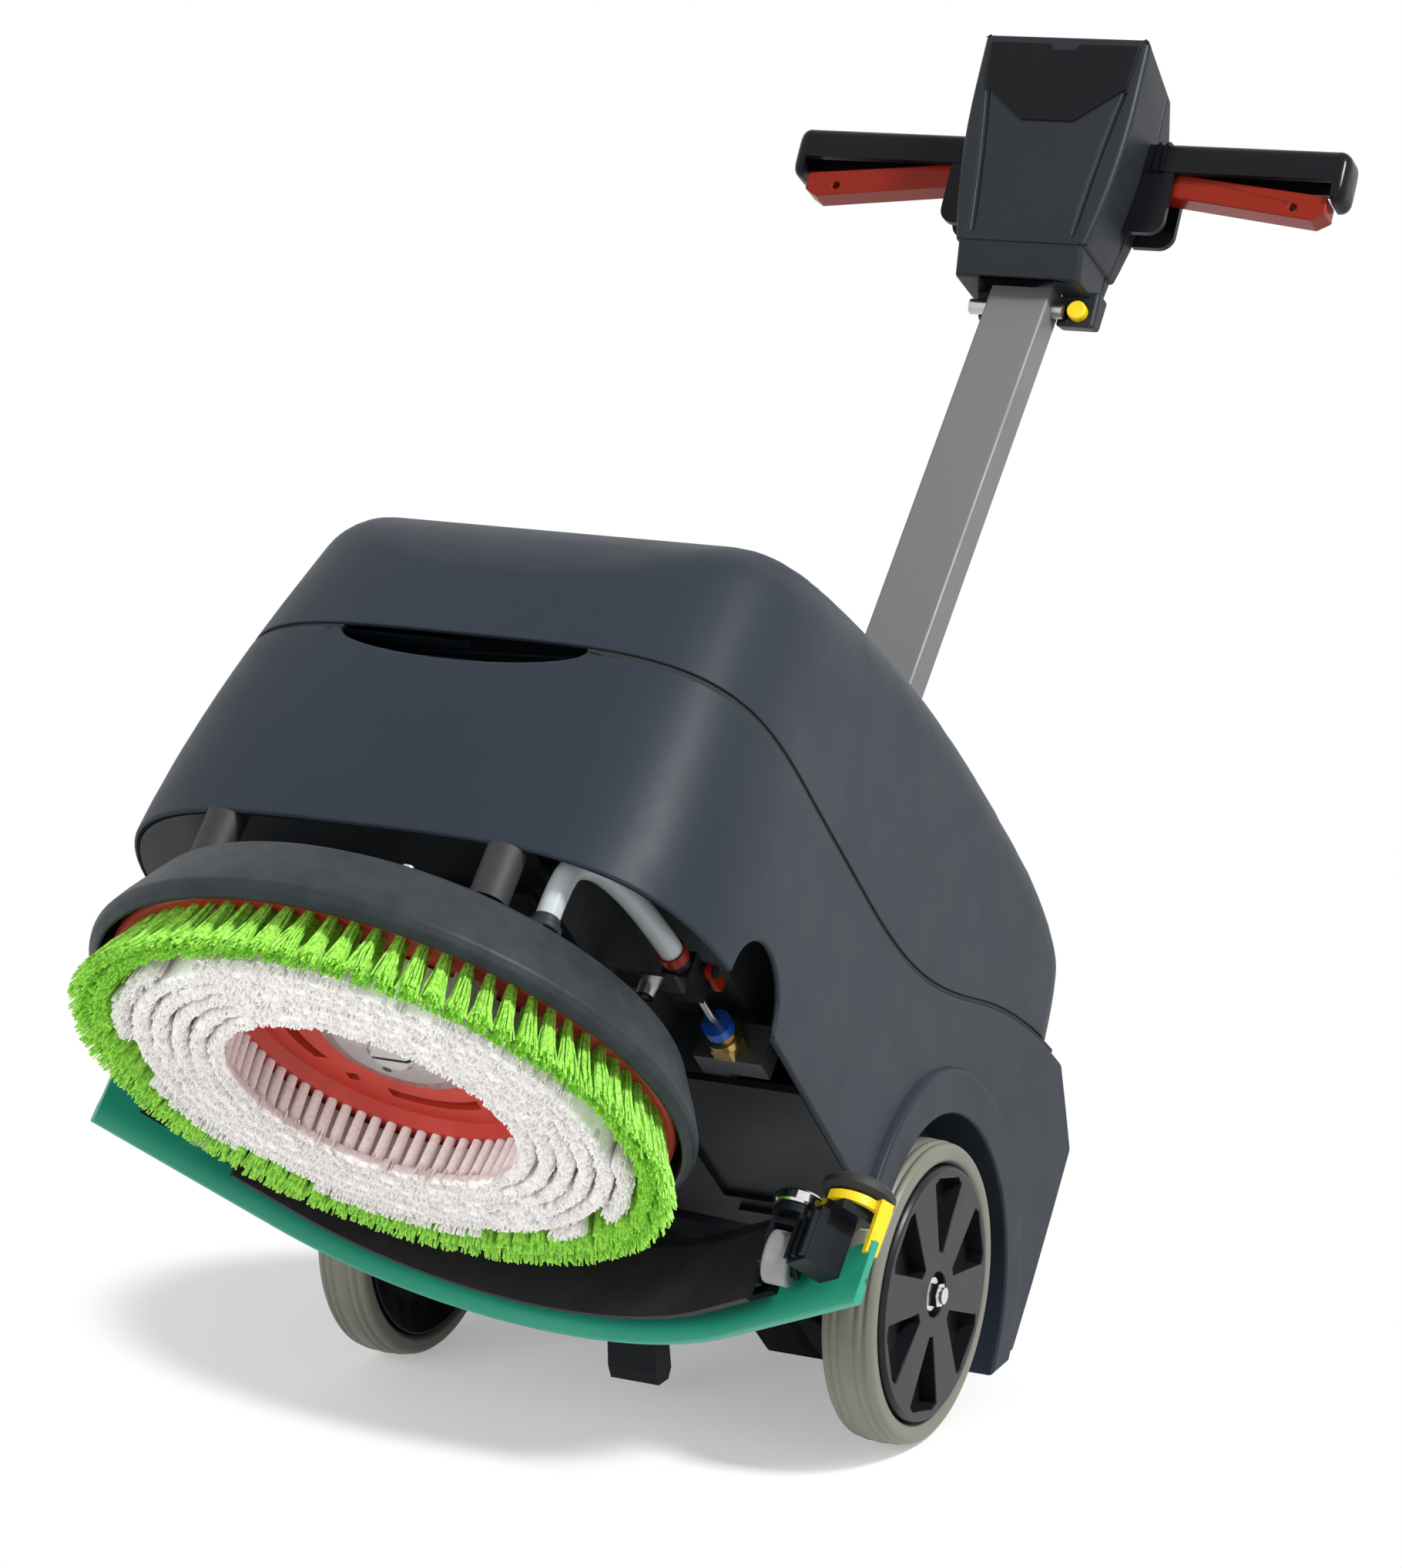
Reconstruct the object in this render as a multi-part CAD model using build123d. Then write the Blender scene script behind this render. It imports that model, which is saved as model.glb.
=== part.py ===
from build123d import *
import math
import os

# A walk-behind wet and dry floor scrubber, parked the way it is stored: tipped back on its two
# wheels and the lower edge of its tail, with the handle upright against the body.
#
# Every piece is modelled in the machine's own working frame, in millimetres:
#   X  across the machine, positive to the operator's left as seen from the front
#   Y  along the machine, positive towards the tail (called u in the comments)
#   Z  up from the floor when the machine is at work (called w in the comments)
# with the origin on the wheel axle at the middle of the machine. The last step tips the whole
# machine back by TILT about the axle and stands it on the floor.

# ---------------------------------------------------------------- driving dimensions
TILT = 45.0                      # parked lean, degrees

WHEEL_R = 100.0                  # 200 mm transport wheels
WHEEL_IN = 168.0                 # inner face of the tyre
WHEEL_OUT = 204.0                # outer face of the tyre
RIM_R = 84.0                     # seat of the tyre on the hub
AXLE_R = 6.0
HUB_POCKET = 12.0                # depth of the six wedge pockets
NUT_RECESS = 5.0
NUT_RECESS_R = 15.0
RUNNING = 0.05                   # radial clearance of a shaft in its hole
GAP = 0.3                        # clearance between pieces that pass each other

BODY_U0 = -340.0                 # where the straight sides end and the rounded nose begins
TAIL_U = 195.0                   # rear face
WALL = 4.0                       # moulded housing wall
SEAM_GAP = 3.0                   # open joint between hood and body
SEAM_FRONT_W = 150.0             # height of the joint at the nose
SEAM_TIP_U = -503.5              # foremost point of the joint
SEAM_TAIL_W = 250.0              # height of the joint at the tail
# plan of the housing at five heights: w, nose tip u, half width at nose, half width at tail,
# and the exponent that squares the corners
PLAN = (
    (-6.0, -530.0, 200.0, 189.0, 3.5),
    (75.0, -517.0, 193.0, 188.0, 3.9),
    (SEAM_FRONT_W, SEAM_TIP_U, 182.5, 186.0, 4.1),
    (250.0, -480.0, 169.0, 182.0, 4.0),
    (372.0, -448.0, 152.0, 175.0, 3.6),
)
CROWN = ((-520.0, 120.0), (-497.0, 190.0), (-483.0, 226.0), (-455.0, 262.0), (-405.0, 289.0),
         (-325.0, 314.0), (-225.0, 336.0), (-110.0, 349.0), (-10.0, 352.0), (65.0, 346.0))
HOOD_TAIL = ((65.0, 346.0), (118.0, 322.0), (140.0, 252.0))
SHOULDER_R = 50.0                # rounding of the hood's upper edges
SHOULDER_W = 212.0               # where the tail's back face begins to slope forward
REST_SLOPE = WHEEL_R * math.sqrt(2)   # u - w of the floor when the machine is tipped back

WELL_U = 28.0                    # centre of the wheel arch
WELL_R = 130.0
WELL_BACK = 158.0                # front face of the tail leg
WELL_X = 148.0                   # inner wall of the wheel pocket
BAND_R = 164.0                   # raised band round the arch
BAND_RISE = 5.0
SCOOP = (84.0, 18.0, 22.0)       # finger hollow: half width, height, depth
NOTCH = (-406.0, -332.0, 38.0)   # tap notch: front, back, top
CHANNEL_U = 14.0                 # front face of the handle slot

BRUSH_U = -400.0                 # brush axis
BRUSH_TIP_R = 191.0
BRUSH_TIP_W = -120.0
BLOCK_R = 177.0
BLOCK_W = (-82.0, -66.0)
DRIVE_R = 14.0                   # shank of the drive through the brush back

SKIRT_W = (-88.0, -34.0)
SKIRT_R = 191.0
DECK_W = (0.0, 5.0)              # moulded floor of the body
FRAME_W = (-4.0, 0.0)            # steel frame plate under the floor
FRAME_X = 92.0
TAP_BAY = (96.0, 200.0, -478.0, -262.0)   # opening in the floor over the tap: x then u
HOSE_BAY = (108.0, 200.0, -540.0, -470.0)
TANK_BAY = (93.0, 200.0, -481.0, -259.0)
MOTOR_R = 48.0
MOTOR_HOLE_R = 60.0
AXLE_EAR_X = (126.0, 132.0)
AXLE_END = 207.0
SPACER_R = 10.0
BRACKET_X = (27.0, 32.0)
PIN_R = 6.0
VACUUM_AXIS = (92.0, 84.0)       # x, u
CLEAN_TANK = (-150.0, 150.0, -440.0, -112.0, 5.0, 142.0)
DIRTY_TANK = (-128.0, 128.0, -420.0, -6.0, 142.0, 240.0)
TANK_CORNER = 60.0
TANK_WALL = 3.0

PIVOT_U = -185.0                 # squeegee swivel pin
SQUEEGEE_R = 215.0               # bend of the squeegee
SQUEEGEE_BACK = 67.0             # blade face behind the swivel
SQUEEGEE_ARC = 45.5              # half angle of the bend, degrees
SQUEEGEE_END = 142.0             # straight run at each end
SQUEEGEE_REST = 9.6              # swivel of the parked squeegee, degrees
BLADE_W = (-120.0, -78.0)
BLADE_T = 4.0
CARRIER_W = (-100.0, -58.0)
ARM_W = (-58.0, -52.0)
SWIVEL_R = 6.0
STRIP_TRIM = 92.0                # the front strip stops short of the guide rollers
LIFT = 12.0                      # travel of the squeegee lift
POST_R = 10.0
ROLLER_PLACE = (77.0, -23.5)     # along the straight end, then in front of the blade
ROLLER_R = 16.5
ROLLER_HALF = 8.5
ROLLER_W = -90.0
BUMPER_PLACE = (112.0, -7.0)
BUMPER_R = 23.0
BUMPER_PIN_R = 8.0
ROLLER_PIN_R = 3.0
PEDAL_PIVOT = (-30.0, -26.0)     # u, w
PEDAL_PIN_R = 4.0

TAP_X = 150.0                    # line of the water tap
TAP_PIVOT = (-367.0, 20.0)       # u, w of its spindle
TAP_ROOF_W = 46.0                # the tank is stepped up over the tap
HOSE_R = 7.5
HOSE_START = (121.0, -494.0)

TUBE_X = 50.0                    # handle tube, outside
TUBE_U = (28.0, 55.0)
TUBE_TOP = 852.0
HANDLE_PIVOT = (41.5, 25.0)      # u, w
CHANNEL_X = 36.0                 # half width of the slot that the handle tips back through

HEAD_PIVOT = (41.5, 832.0)
HEAD_LEAN = 13.5                 # head leans forward from the tube, degrees
HEAD_CORNER = (-1.0, 863.0)      # u, w of the lower edge of its front face
HEAD_JOINT = 58.0                # rear cover starts this far behind the face
HEAD_LOW = -26.0                 # lower rim of the head in front of the tube
HEAD_FLANK = ((53.0, 0.0), (62.0, 48.0), (67.0, 100.0), (68.0, 190.0))   # half width, height
NECK_X = 51.0                    # half width of the part below the face
HEAD_WALL = 11.0                 # front wall before the tube slot
EAR_X = (-42.0, 58.0)            # outer faces of the two ears; the right one houses the button
EAR_B = 38.0                     # front face of the ears
SLOT_X = 27.4                    # half width between the ears
SLOT_R = 27.0
HEAD_PIN_X = (EAR_X[0], 34.0)    # the tilt pin goes in through the left ear
BUTTON_X = 44.0
BUTTON_H = -38.0
BUTTON_R = 7.5
BUTTON_FLOOR = 46.0
BUTTON_TRAVEL = 4.0

GRIP_END = 228.0
GRIP_B = 62.0                    # grips behind the head's face
GRIP_H = 98.5                    # and above its lower edge
GRIP_HALF = 17.0
LEVER_END = 215.0
LEVER_HALF = 10.0
LEVER_H = 80.5
LEVER_PIVOT_X = 81.0
LEVER_PIN_R = 3.0


# ---------------------------------------------------------------- helpers
def block(x0, x1, u0, u1, w0, w1):
    """A box from its limits on the three axes."""
    return Pos((x0 + x1) / 2, (u0 + u1) / 2, (w0 + w1) / 2) * Box(x1 - x0, u1 - u0, w1 - w0)


def rod_x(radius, x0, x1, u, w):
    """A round bar across the machine."""
    return Pos((x0 + x1) / 2, u, w) * Rot(0, 90, 0) * Cylinder(radius, x1 - x0)


def rod_w(radius, w0, w1, x, u):
    """A round bar standing along w."""
    return Pos(x, u, (w0 + w1) / 2) * Cylinder(radius, w1 - w0)


def rod_u(radius, u0, u1, x, w):
    """A round bar along the machine."""
    return Pos(x, (u0 + u1) / 2, w) * Rot(90, 0, 0) * Cylinder(radius, u1 - u0)


def mirrored(piece, side):
    """The piece as drawn for the right side, or its mirror image for the left."""
    return piece if side > 0 else mirror(piece, Plane.YZ)


def turned(points, x=0.0, u=0.0, w=0.0):
    """A body of revolution about a standing axis from (radius, w) points."""
    face = make_face(Polyline(*[(r, 0, h) for r, h in points], close=True))
    return Pos(x, u, w) * revolve(face, Axis.Z, 360)


def side_face(points):
    """A flat face in the side view from (u, w) points."""
    return make_face(Polyline(*[(0, u, w) for u, w in points], close=True))


def across(face, x0, x1):
    """Push a side view face across the machine from x0 to x1."""
    return Pos(x0, 0, 0) * extrude(face, amount=x1 - x0, dir=(1, 0, 0))


# ---------------------------------------------------------------- housing forms
def nose_point(half, depth, squareness, turn):
    """One point of a superellipse nose, turn running from 0 at the right side to 180 at the left."""
    c, s = round(math.cos(math.radians(turn)), 9), round(math.sin(math.radians(turn)), 9)
    x = math.copysign(abs(c) ** (2 / squareness), c) * half
    return x, BODY_U0 - depth * abs(s) ** (2 / squareness)


def plan_wire(level, inset):
    """Outline of the housing at one height, moved inwards by inset."""
    w, tip, half_nose, half_tail, squareness = level
    half_nose, half_tail, tail = half_nose - inset, half_tail - inset, TAIL_U - inset
    depth = BODY_U0 - tip - inset
    turns = [0, 9, 18, 27, 36, 45, 54, 63, 72, 81, 90]
    turns += [180 - t for t in reversed(turns[:-1])]
    points = [(*nose_point(half_nose, depth, squareness, t), w) for t in turns]
    nose = Spline(*points, tangents=[(0, -1, 0), (0, 1, 0)])
    right = Line((half_tail, tail, w), (half_nose, BODY_U0, w))
    left = Line((-half_nose, BODY_U0, w), (-half_tail, tail, w))
    back = Line((-half_tail, tail, w), (half_tail, tail, w))
    return Wire([right, nose, left, back])


def housing(inset=0.0):
    """The tapering form of the whole housing, hood and body together, before the crown is cut."""
    return Solid.make_loft([plan_wire(level, inset) for level in PLAN], ruled=False)


def seam_curves(rise):
    """The joint between hood and body in the side view: level round the nose, rising to the tail."""
    front = SEAM_FRONT_W + rise
    middle = (0, -30, front + 50)
    level = Line((0, -620, front), (0, -235, front))
    lower = Spline((0, -235, front), (0, -120, front + 14), middle, tangents=[(0, 1, 0), (0, 1, 0.48)])
    upper = ThreePointArc(middle, (0, 55, front + 83), (0, 140, SEAM_TAIL_W + rise))
    return level + lower, upper


def above_seam(rise):
    """Everything over the joint, as a slab across the machine."""
    front, rear = seam_curves(rise)
    end = rear @ 1
    rest = Polyline((0, end.Y, end.Z), (0, 340, end.Z), (0, 340, 500), (0, -620, 500),
                    (0, -620, SEAM_FRONT_W + rise))
    return across(make_face(front + rear + rest), -260, 260)


def tail_points(inset):
    """The tail in the side view: shoulder, heel and toe of the resting facet, moved inwards by inset."""
    tail = TAIL_U - inset
    facet = REST_SLOPE - inset * math.sqrt(2)
    return (0, tail, SHOULDER_W - inset / 2), (0, tail, tail - facet), (0, facet, 0)


def body_slab():
    """Everything of the body under the joint, as a slab across the machine."""
    front, rear = seam_curves(0)
    rest = Polyline(rear @ 1, *tail_points(0), (0, -620, 0), (0, -620, SEAM_FRONT_W))
    return across(make_face(front + rear + rest), -260, 260)


def cavity_slab():
    """Side view of the hollow in the body: open upwards in front of the tail, and downwards."""
    tail = tail_points(WALL)
    top = SEAM_TAIL_W - WALL
    rest = Polyline((0, 139, 420), (0, 139, top), *tail, (0, tail[-1][1], -40), (0, -620, -40),
                    (0, -620, 420), close=True)
    return across(make_face(rest), -260, 260)


def crown_slab(drop):
    """Everything under the crown of the hood, lowered by drop for its inner skin."""
    top = Spline(*[(0, u, w - drop) for u, w in CROWN], tangents=[(0, 0.35, 1), (0, 1, -0.18)])
    (u0, w0), (u1, w1), (u2, w2) = HOOD_TAIL
    tail = Spline((0, u0, w0 - drop), (0, u1 - drop, w1 - drop), (0, u2 - drop, w2),
                  tangents=[(0, 1, -0.18), (0, 0.1, -1)])
    base = Polyline((0, u2 - drop, w2), (0, u2 - drop, 60), (0, -520, 60), (0, -520, 120 - drop))
    return across(make_face(top + tail + base), -260, 260)


def crowned(inset):
    """The closed hood form with its rounded shoulders."""
    form = housing(inset) & crown_slab(inset)
    edges = [e for e in form.edges() if e.bounding_box().max.Z > 255 and e.center().Z > 200]
    return form.fillet(SHOULDER_R - inset, edges)


def well_slab(side, offset):
    """The pocket of one wheel: an arch over the wheel with a straight leg behind it."""
    radius = WELL_R + offset
    back = WELL_BACK + offset
    arch = ThreePointArc((0, WELL_U - radius, 0), (0, WELL_U, radius), (0, WELL_U + radius, 0))
    legs = Polyline((0, WELL_U + radius, 0), (0, back, -5), (0, back, -80), (0, WELL_U - radius, -80),
                    (0, WELL_U - radius, 0))
    slab = across(make_face(arch + legs), WELL_X - offset, 260)
    return slab if side > 0 else mirror(slab, Plane.YZ)


# ---------------------------------------------------------------- housing pieces
def handle_channel(offset):
    """The slot at the back that the handle stands in and tips back through."""
    return block(-CHANNEL_X - offset, CHANNEL_X + offset, CHANNEL_U - offset, 260, -60, 420)


def body_shell():
    """The lower moulding: nose, sides with wheel arches, handle channel and tail legs."""
    hollow = housing(WALL) & cavity_slab()
    for wall in (well_slab(1, WALL), well_slab(-1, WALL), handle_channel(WALL), finger_scoop(WALL)):
        hollow = hollow - wall
    shell = ((housing() & body_slab()) + fender_band(1) + fender_band(-1)) - hollow
    bracket_window = block(-BRACKET_X[1] - 1, BRACKET_X[1] + 1, 0, CHANNEL_U + 1, -5, 46)
    axle_holes = rod_x(SPACER_R + 1, -160, 160, 0, 0)
    for cut in (well_slab(1, 0), well_slab(-1, 0), handle_channel(0), finger_scoop(0), tap_notch(),
                bracket_window, axle_holes):
        shell = shell - cut
    return shell


def finger_scoop(offset):
    """The grip hollow under the front edge of the hood."""
    ellipse = Plane.XZ * Ellipse(SCOOP[0] + offset, SCOOP[1] + offset)
    depth = SCOOP[2] + offset
    return Pos(0, SEAM_TIP_U + depth, SEAM_FRONT_W) * extrude(ellipse, amount=depth + 40)


def fender_band(side):
    """The raised band round a wheel arch."""
    face = make_face(ThreePointArc((0, WELL_U - BAND_R, 2), (0, WELL_U, BAND_R), (0, WELL_U + BAND_R, 2))
                     + Line((0, WELL_U + BAND_R, 2), (0, WELL_U - BAND_R, 2)))
    slab = extrude(face, amount=24, dir=(1, 0, 0), taper=20)
    band = (Pos(176, 0, 0) * slab) & housing(-BAND_RISE) & body_slab()
    return band if side > 0 else mirror(band, Plane.YZ)


def tap_notch():
    """The arch in the right lower edge that leaves room for fingers at the water tap."""
    u0, u1, top = NOTCH
    radius = (u1 - u0) / 2
    rise = top - radius
    face = make_face(ThreePointArc((0, u0, rise), (0, u0 + radius, top), (0, u1, rise))
                     + Polyline((0, u1, rise), (0, u1, -20), (0, u0, -20), (0, u0, rise)))
    return across(face, 150, 230)


def hood():
    """The lift-off hood over the dirty water tank, slotted at the back for the handle."""
    hollow = (crowned(WALL) & above_seam(-20)) - handle_channel(WALL)
    return (crowned(0) & above_seam(SEAM_GAP)) - hollow - handle_channel(0)


def hood_seal():
    """The soft strip that the hood stands on, let in behind the outer face of the joint."""
    length = block(-200, 200, -560, 120, 100, 300)
    strip = (housing(1.5) - housing(9.0)) & above_seam(0) & length
    return strip - above_seam(SEAM_GAP - GAP) - finger_scoop(0)


def under_deck():
    """The floor of the body: a plate inside the shell with room for motor, wheels and water tap."""
    plate = housing(WALL) & block(-200, 200, -600, 8, *DECK_W)
    for cut in (well_slab(1, WALL), well_slab(-1, WALL), handle_channel(WALL),
                rod_w(MOTOR_HOLE_R, -10, 10, 0, BRUSH_U), block(*TAP_BAY, -10, 10),
                block(*HOSE_BAY, -10, 10), block(-200, 200, -60, 20, -10, 10)):
        plate = plate - cut
    return plate


# ---------------------------------------------------------------- frame, axle and motors
def chassis():
    """The welded steel chassis: plate under the floor, axle ears and handle bracket."""
    plate = block(-FRAME_X, FRAME_X, -470, -60, *FRAME_W)
    plate = plate + block(-AXLE_EAR_X[1], AXLE_EAR_X[1], -110, -14, *FRAME_W)
    plate = plate - rod_w(MOTOR_R, -10, 10, 0, BRUSH_U)
    ear = across(side_face([(-100, -4), (-100, -12), (-30, -20), (0, -22), (18, -14), (22, 0), (16, 14),
                            (0, 20), (-12, 14), (-12, -4)]), *AXLE_EAR_X)
    ear = ear + block(AXLE_EAR_X[0] - 26, AXLE_EAR_X[0], -100, -20, -8, -4)
    cheek = across(side_face([(-90, -4), (-90, -8), (-50, -34), (-22, -36), (10, -18), (48, 8), (58, 26),
                              (52, 40), (34, 42), (24, 30), (-12, -4)]), *BRACKET_X)
    for side in (1, -1):
        plate = plate + mirrored(ear, side) + mirrored(cheek, side)
    pedal_stop = block(-BRACKET_X[1], BRACKET_X[1], -90, -60, -8, -4)
    plate = plate + pedal_stop - rod_x(AXLE_R, -200, 200, 0, 0)
    return plate - rod_x(PIN_R, -60, 60, *HANDLE_PIVOT) - rod_x(PEDAL_PIN_R, -60, 60, *PEDAL_PIVOT)


def axle():
    """One steel axle through both wheels, chamfered at its ends."""
    bar = rod_x(AXLE_R, -AXLE_END, AXLE_END, 0, 0)
    return chamfer(bar.edges().filter_by(GeomType.CIRCLE), 1.0)


def handle_pin():
    """The pin that the handle tips on."""
    pin = rod_x(PIN_R, -BRACKET_X[1] - 2, BRACKET_X[1] + 2, *HANDLE_PIVOT)
    return chamfer(pin.edges().filter_by(GeomType.CIRCLE), 0.8)


def gearbox():
    """The reduction gearbox under the frame plate, over the brush."""
    case = turned([(0, SKIRT_W[1]), (54, SKIRT_W[1]), (62, -26), (62, -8), (66, -8), (66, -4), (0, -4)],
                  0, BRUSH_U)
    return case


def brush_motor():
    """The motor that drives the brush, with its cooling ribs and end cap."""
    body = turned([(0, -4), (MOTOR_R, -4), (MOTOR_R, 96), (MOTOR_R - 6, 104), (MOTOR_R - 6, 116),
                   (30, 124), (0, 124)], 0, BRUSH_U)
    for turn in range(0, 360, 30):
        slot = Pos(0, BRUSH_U, 50) * Rot(0, 0, turn) * Pos(MOTOR_R, 0, 0) * Box(5, 4, 70)
        body = body - slot
    return body


def vacuum_motor():
    """The suction motor beside the handle slot, fan housing below and motor above."""
    x, u = VACUUM_AXIS
    return turned([(0, 140), (44, 140), (47, 146), (47, 168), (44, 174), (34, 174), (34, 218), (26, 228),
                   (0, 228)], x, u)


def vacuum_mount():
    """The shelf that carries the suction motor over the right wheel pocket."""
    x, u = VACUUM_AXIS
    shelf = block(CHANNEL_X + WALL, 150, 20, 150, 134, 140) + block(CHANNEL_X + WALL, 46, 20, 150, 60, 134)
    return shelf - rod_w(20, 120, 150, x, u)


def control_box():
    """The electronics box on the other side of the slot."""
    box = block(-150, -CHANNEL_X - WALL, 24, 130, 140, 200)
    return fillet(box.edges().filter_by(Axis.Z), 6)


def moulded_tank(limits, radius, wall):
    """A closed moulded tank, hollow inside."""
    skin = fillet(block(*limits).edges().filter_by(Axis.Z), radius)
    x0, x1, u0, u1, w0, w1 = limits
    room = block(x0 + wall, x1 - wall, u0 + wall, u1 - wall, w0 + wall, w1 - wall)
    return skin, fillet(room.edges().filter_by(Axis.Z), radius - wall)


def clean_tank():
    """The clean water tank in the body, bridging the brush motor and stepped up over the tap."""
    skin, room = moulded_tank(CLEAN_TANK, TANK_CORNER, TANK_WALL)
    well = rod_w(MOTOR_R + 12, 0, 200, 0, BRUSH_U) + block(*TAP_BAY, 0, TAP_ROOF_W)
    thick_well = rod_w(MOTOR_R + 12 + TANK_WALL, 0, 200, 0, BRUSH_U)
    thick_well = thick_well + block(*TANK_BAY, 0, TAP_ROOF_W + TANK_WALL)
    return skin - well - (room - thick_well)


def dirty_tank():
    """The dirty water tank that fills the room under the hood, with its filler neck."""
    skin, room = moulded_tank(DIRTY_TANK, TANK_CORNER, TANK_WALL)
    neck = rod_w(36, DIRTY_TANK[5], DIRTY_TANK[5] + 26, 0, -160)
    return skin - room + neck - rod_w(30, DIRTY_TANK[5] - 10, DIRTY_TANK[5] + 40, 0, -160)


# ---------------------------------------------------------------- transport wheels
def tyre(side):
    """A soft tyre with two grooves, moulded round the rim of its hub."""
    mid = (WHEEL_IN + WHEEL_OUT) / 2
    half = (WHEEL_OUT - WHEEL_IN) / 2
    profile = [(RIM_R, -half + 2), (90, -half), (95.5, -half + 2.5), (98.2, -half + 7), (98.2, -half + 8),
               (WHEEL_R, -half + 10.5), (WHEEL_R, -3.2), (98.4, -1.6), (98.4, 1.6), (WHEEL_R, 3.2),
               (WHEEL_R, half - 10.5), (98.2, half - 8), (98.2, half - 7), (95.5, half - 2.5), (90, half),
               (RIM_R, half - 2)]
    ring = revolve(make_face(Polyline(*[(r, 0, h) for r, h in profile], close=True)), Axis.Z, 360)
    return Pos(side * mid, 0, 0) * Rot(0, side * 90, 0) * ring


def wheel_hub(side):
    """The hub disc with its six wedge pockets, centre boss and nut recess."""
    inner, outer = WHEEL_IN - 2, WHEEL_OUT + 2
    depth = outer - inner
    profile = [(0, 0), (20, 0), (20, 8), (60, 12), (RIM_R, 2), (RIM_R, depth - 3),
               (RIM_R - 2, depth), (0, depth)]
    disc = revolve(make_face(Polyline(*[(r, 0, h) for r, h in profile], close=True)), Axis.Z, 360)
    for turn in range(0, 360, 60):
        wedge = make_face(Polyline((28, -3, 0), (28, 3, 0), (72, 22, 0), (76, 16, 0), (76, -16, 0),
                                   (72, -22, 0), close=True))
        disc = disc - Rot(0, 0, turn + 30) * Pos(0, 0, depth - HUB_POCKET) * extrude(wedge, amount=30)
    disc = disc - Pos(0, 0, depth) * Cylinder(NUT_RECESS_R, 2 * NUT_RECESS)
    disc = disc - Cylinder(AXLE_R + RUNNING, 200)
    return Pos(side * inner, 0, 0) * Rot(0, side * 90, 0) * disc


def wheel_nut(side):
    """The domed nut and washer that keep a wheel on the axle."""
    face = WHEEL_OUT + 2 - NUT_RECESS + GAP
    washer = Cylinder(11, 1.6, align=(Align.CENTER, Align.CENTER, Align.MIN))
    nut = Pos(0, 0, 1.6) * extrude(RegularPolygon(8.5, 6), amount=6)
    dome = Pos(0, 0, 7.6) * Cylinder(5.5, 3, align=(Align.CENTER, Align.CENTER, Align.MIN))
    whole = washer + nut + dome - Cylinder(AXLE_R, 2 * (AXLE_END - face))
    return Pos(side * face, 0, 0) * Rot(0, side * 90, 0) * whole


def wheel_spacer(side):
    """The sleeve between the axle ear and the wheel hub."""
    inner, outer = AXLE_EAR_X[1], WHEEL_IN - 2 - GAP
    sleeve = rod_x(SPACER_R, inner, outer, 0, 0) - rod_x(AXLE_R, 0, 300, 0, 0)
    return mirrored(sleeve, side)


# ---------------------------------------------------------------- brush and splash skirt
def splash_skirt():
    """The dished skirt over the brush: flat top, sloping shoulder and rolled lip."""
    low, top = SKIRT_W
    lip = SKIRT_R
    outer = [(34, top), (158, top), (170, top - 6), (lip - 6, top - 32), (lip, top - 44), (lip - 1, low + 4),
             (lip - 6, low)]
    inner = [(lip - 9, low + 1), (lip - 5, low + 6), (lip - 4, top - 44), (lip - 10, top - 32),
             (166, top - 9), (156, top - 4), (34, top - 4)]
    inlet = turned([(HOSE_R, top - 2), (11, top - 2), (11, top + 3), (HOSE_R + 1, top + 3),
                    (HOSE_R + 1, top + 8), (HOSE_R - 2, top + 8), (HOSE_R - 2, top - 4), (HOSE_R, top - 4)], *HOSE_START)
    return turned(outer + inner, 0, BRUSH_U) + inlet - rod_w(HOSE_R - 2, top - 10, top + 10, *HOSE_START)


def buffer_posts():
    """Four rubber posts between skirt and frame."""
    posts = [rod_w(12, SKIRT_W[1], DECK_W[0], x, -517) for x in (-94, 94)]
    posts += [rod_w(12, SKIRT_W[1], FRAME_W[0], x, -268) for x in (-78, 78)]
    return Compound(children=posts)


def skirt_bolts():
    """Hexagon bolts through the top of the skirt into the gearbox and posts."""
    bolts = []
    for x, u in ((45, -530), (-45, -530), (120, -430), (-120, -430)):
        bolts.append(Pos(x, u, SKIRT_W[1]) * extrude(RegularPolygon(7, 6), amount=5)
                     + rod_w(4, SKIRT_W[1] + 5, SKIRT_W[1] + 9, x, u))
    return Compound(children=bolts)


def brush_block():
    """The brush back: thick rim ring and thinner centre plate with arc slots and diamond holes."""
    low, top = BLOCK_W
    back = turned([(0, top), (BLOCK_R - 3, top), (BLOCK_R, top - 3), (BLOCK_R, low + 2), (BLOCK_R - 2, low),
                   (96, low), (92, low + 8), (0, low + 8)], 0, BRUSH_U)
    ring = Pos(0, BRUSH_U, -74) * (Cylinder(76, 30) - Cylinder(67, 40))
    for turn in range(0, 360, 90):
        sector = Pos(0, BRUSH_U, -74) * Rot(0, 0, turn) * Pos(70, 0, 0) * Box(60, 62, 30)
        back = back - (ring & sector)
        diamond = Pos(0, BRUSH_U, -74) * Rot(0, 0, turn + 45) * Pos(72, 0, 0) * Rot(0, 0, 45) * Box(8, 8, 30)
        back = back - diamond
    return back - rod_w(DRIVE_R, low - 1, top + 1, 0, BRUSH_U)


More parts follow.
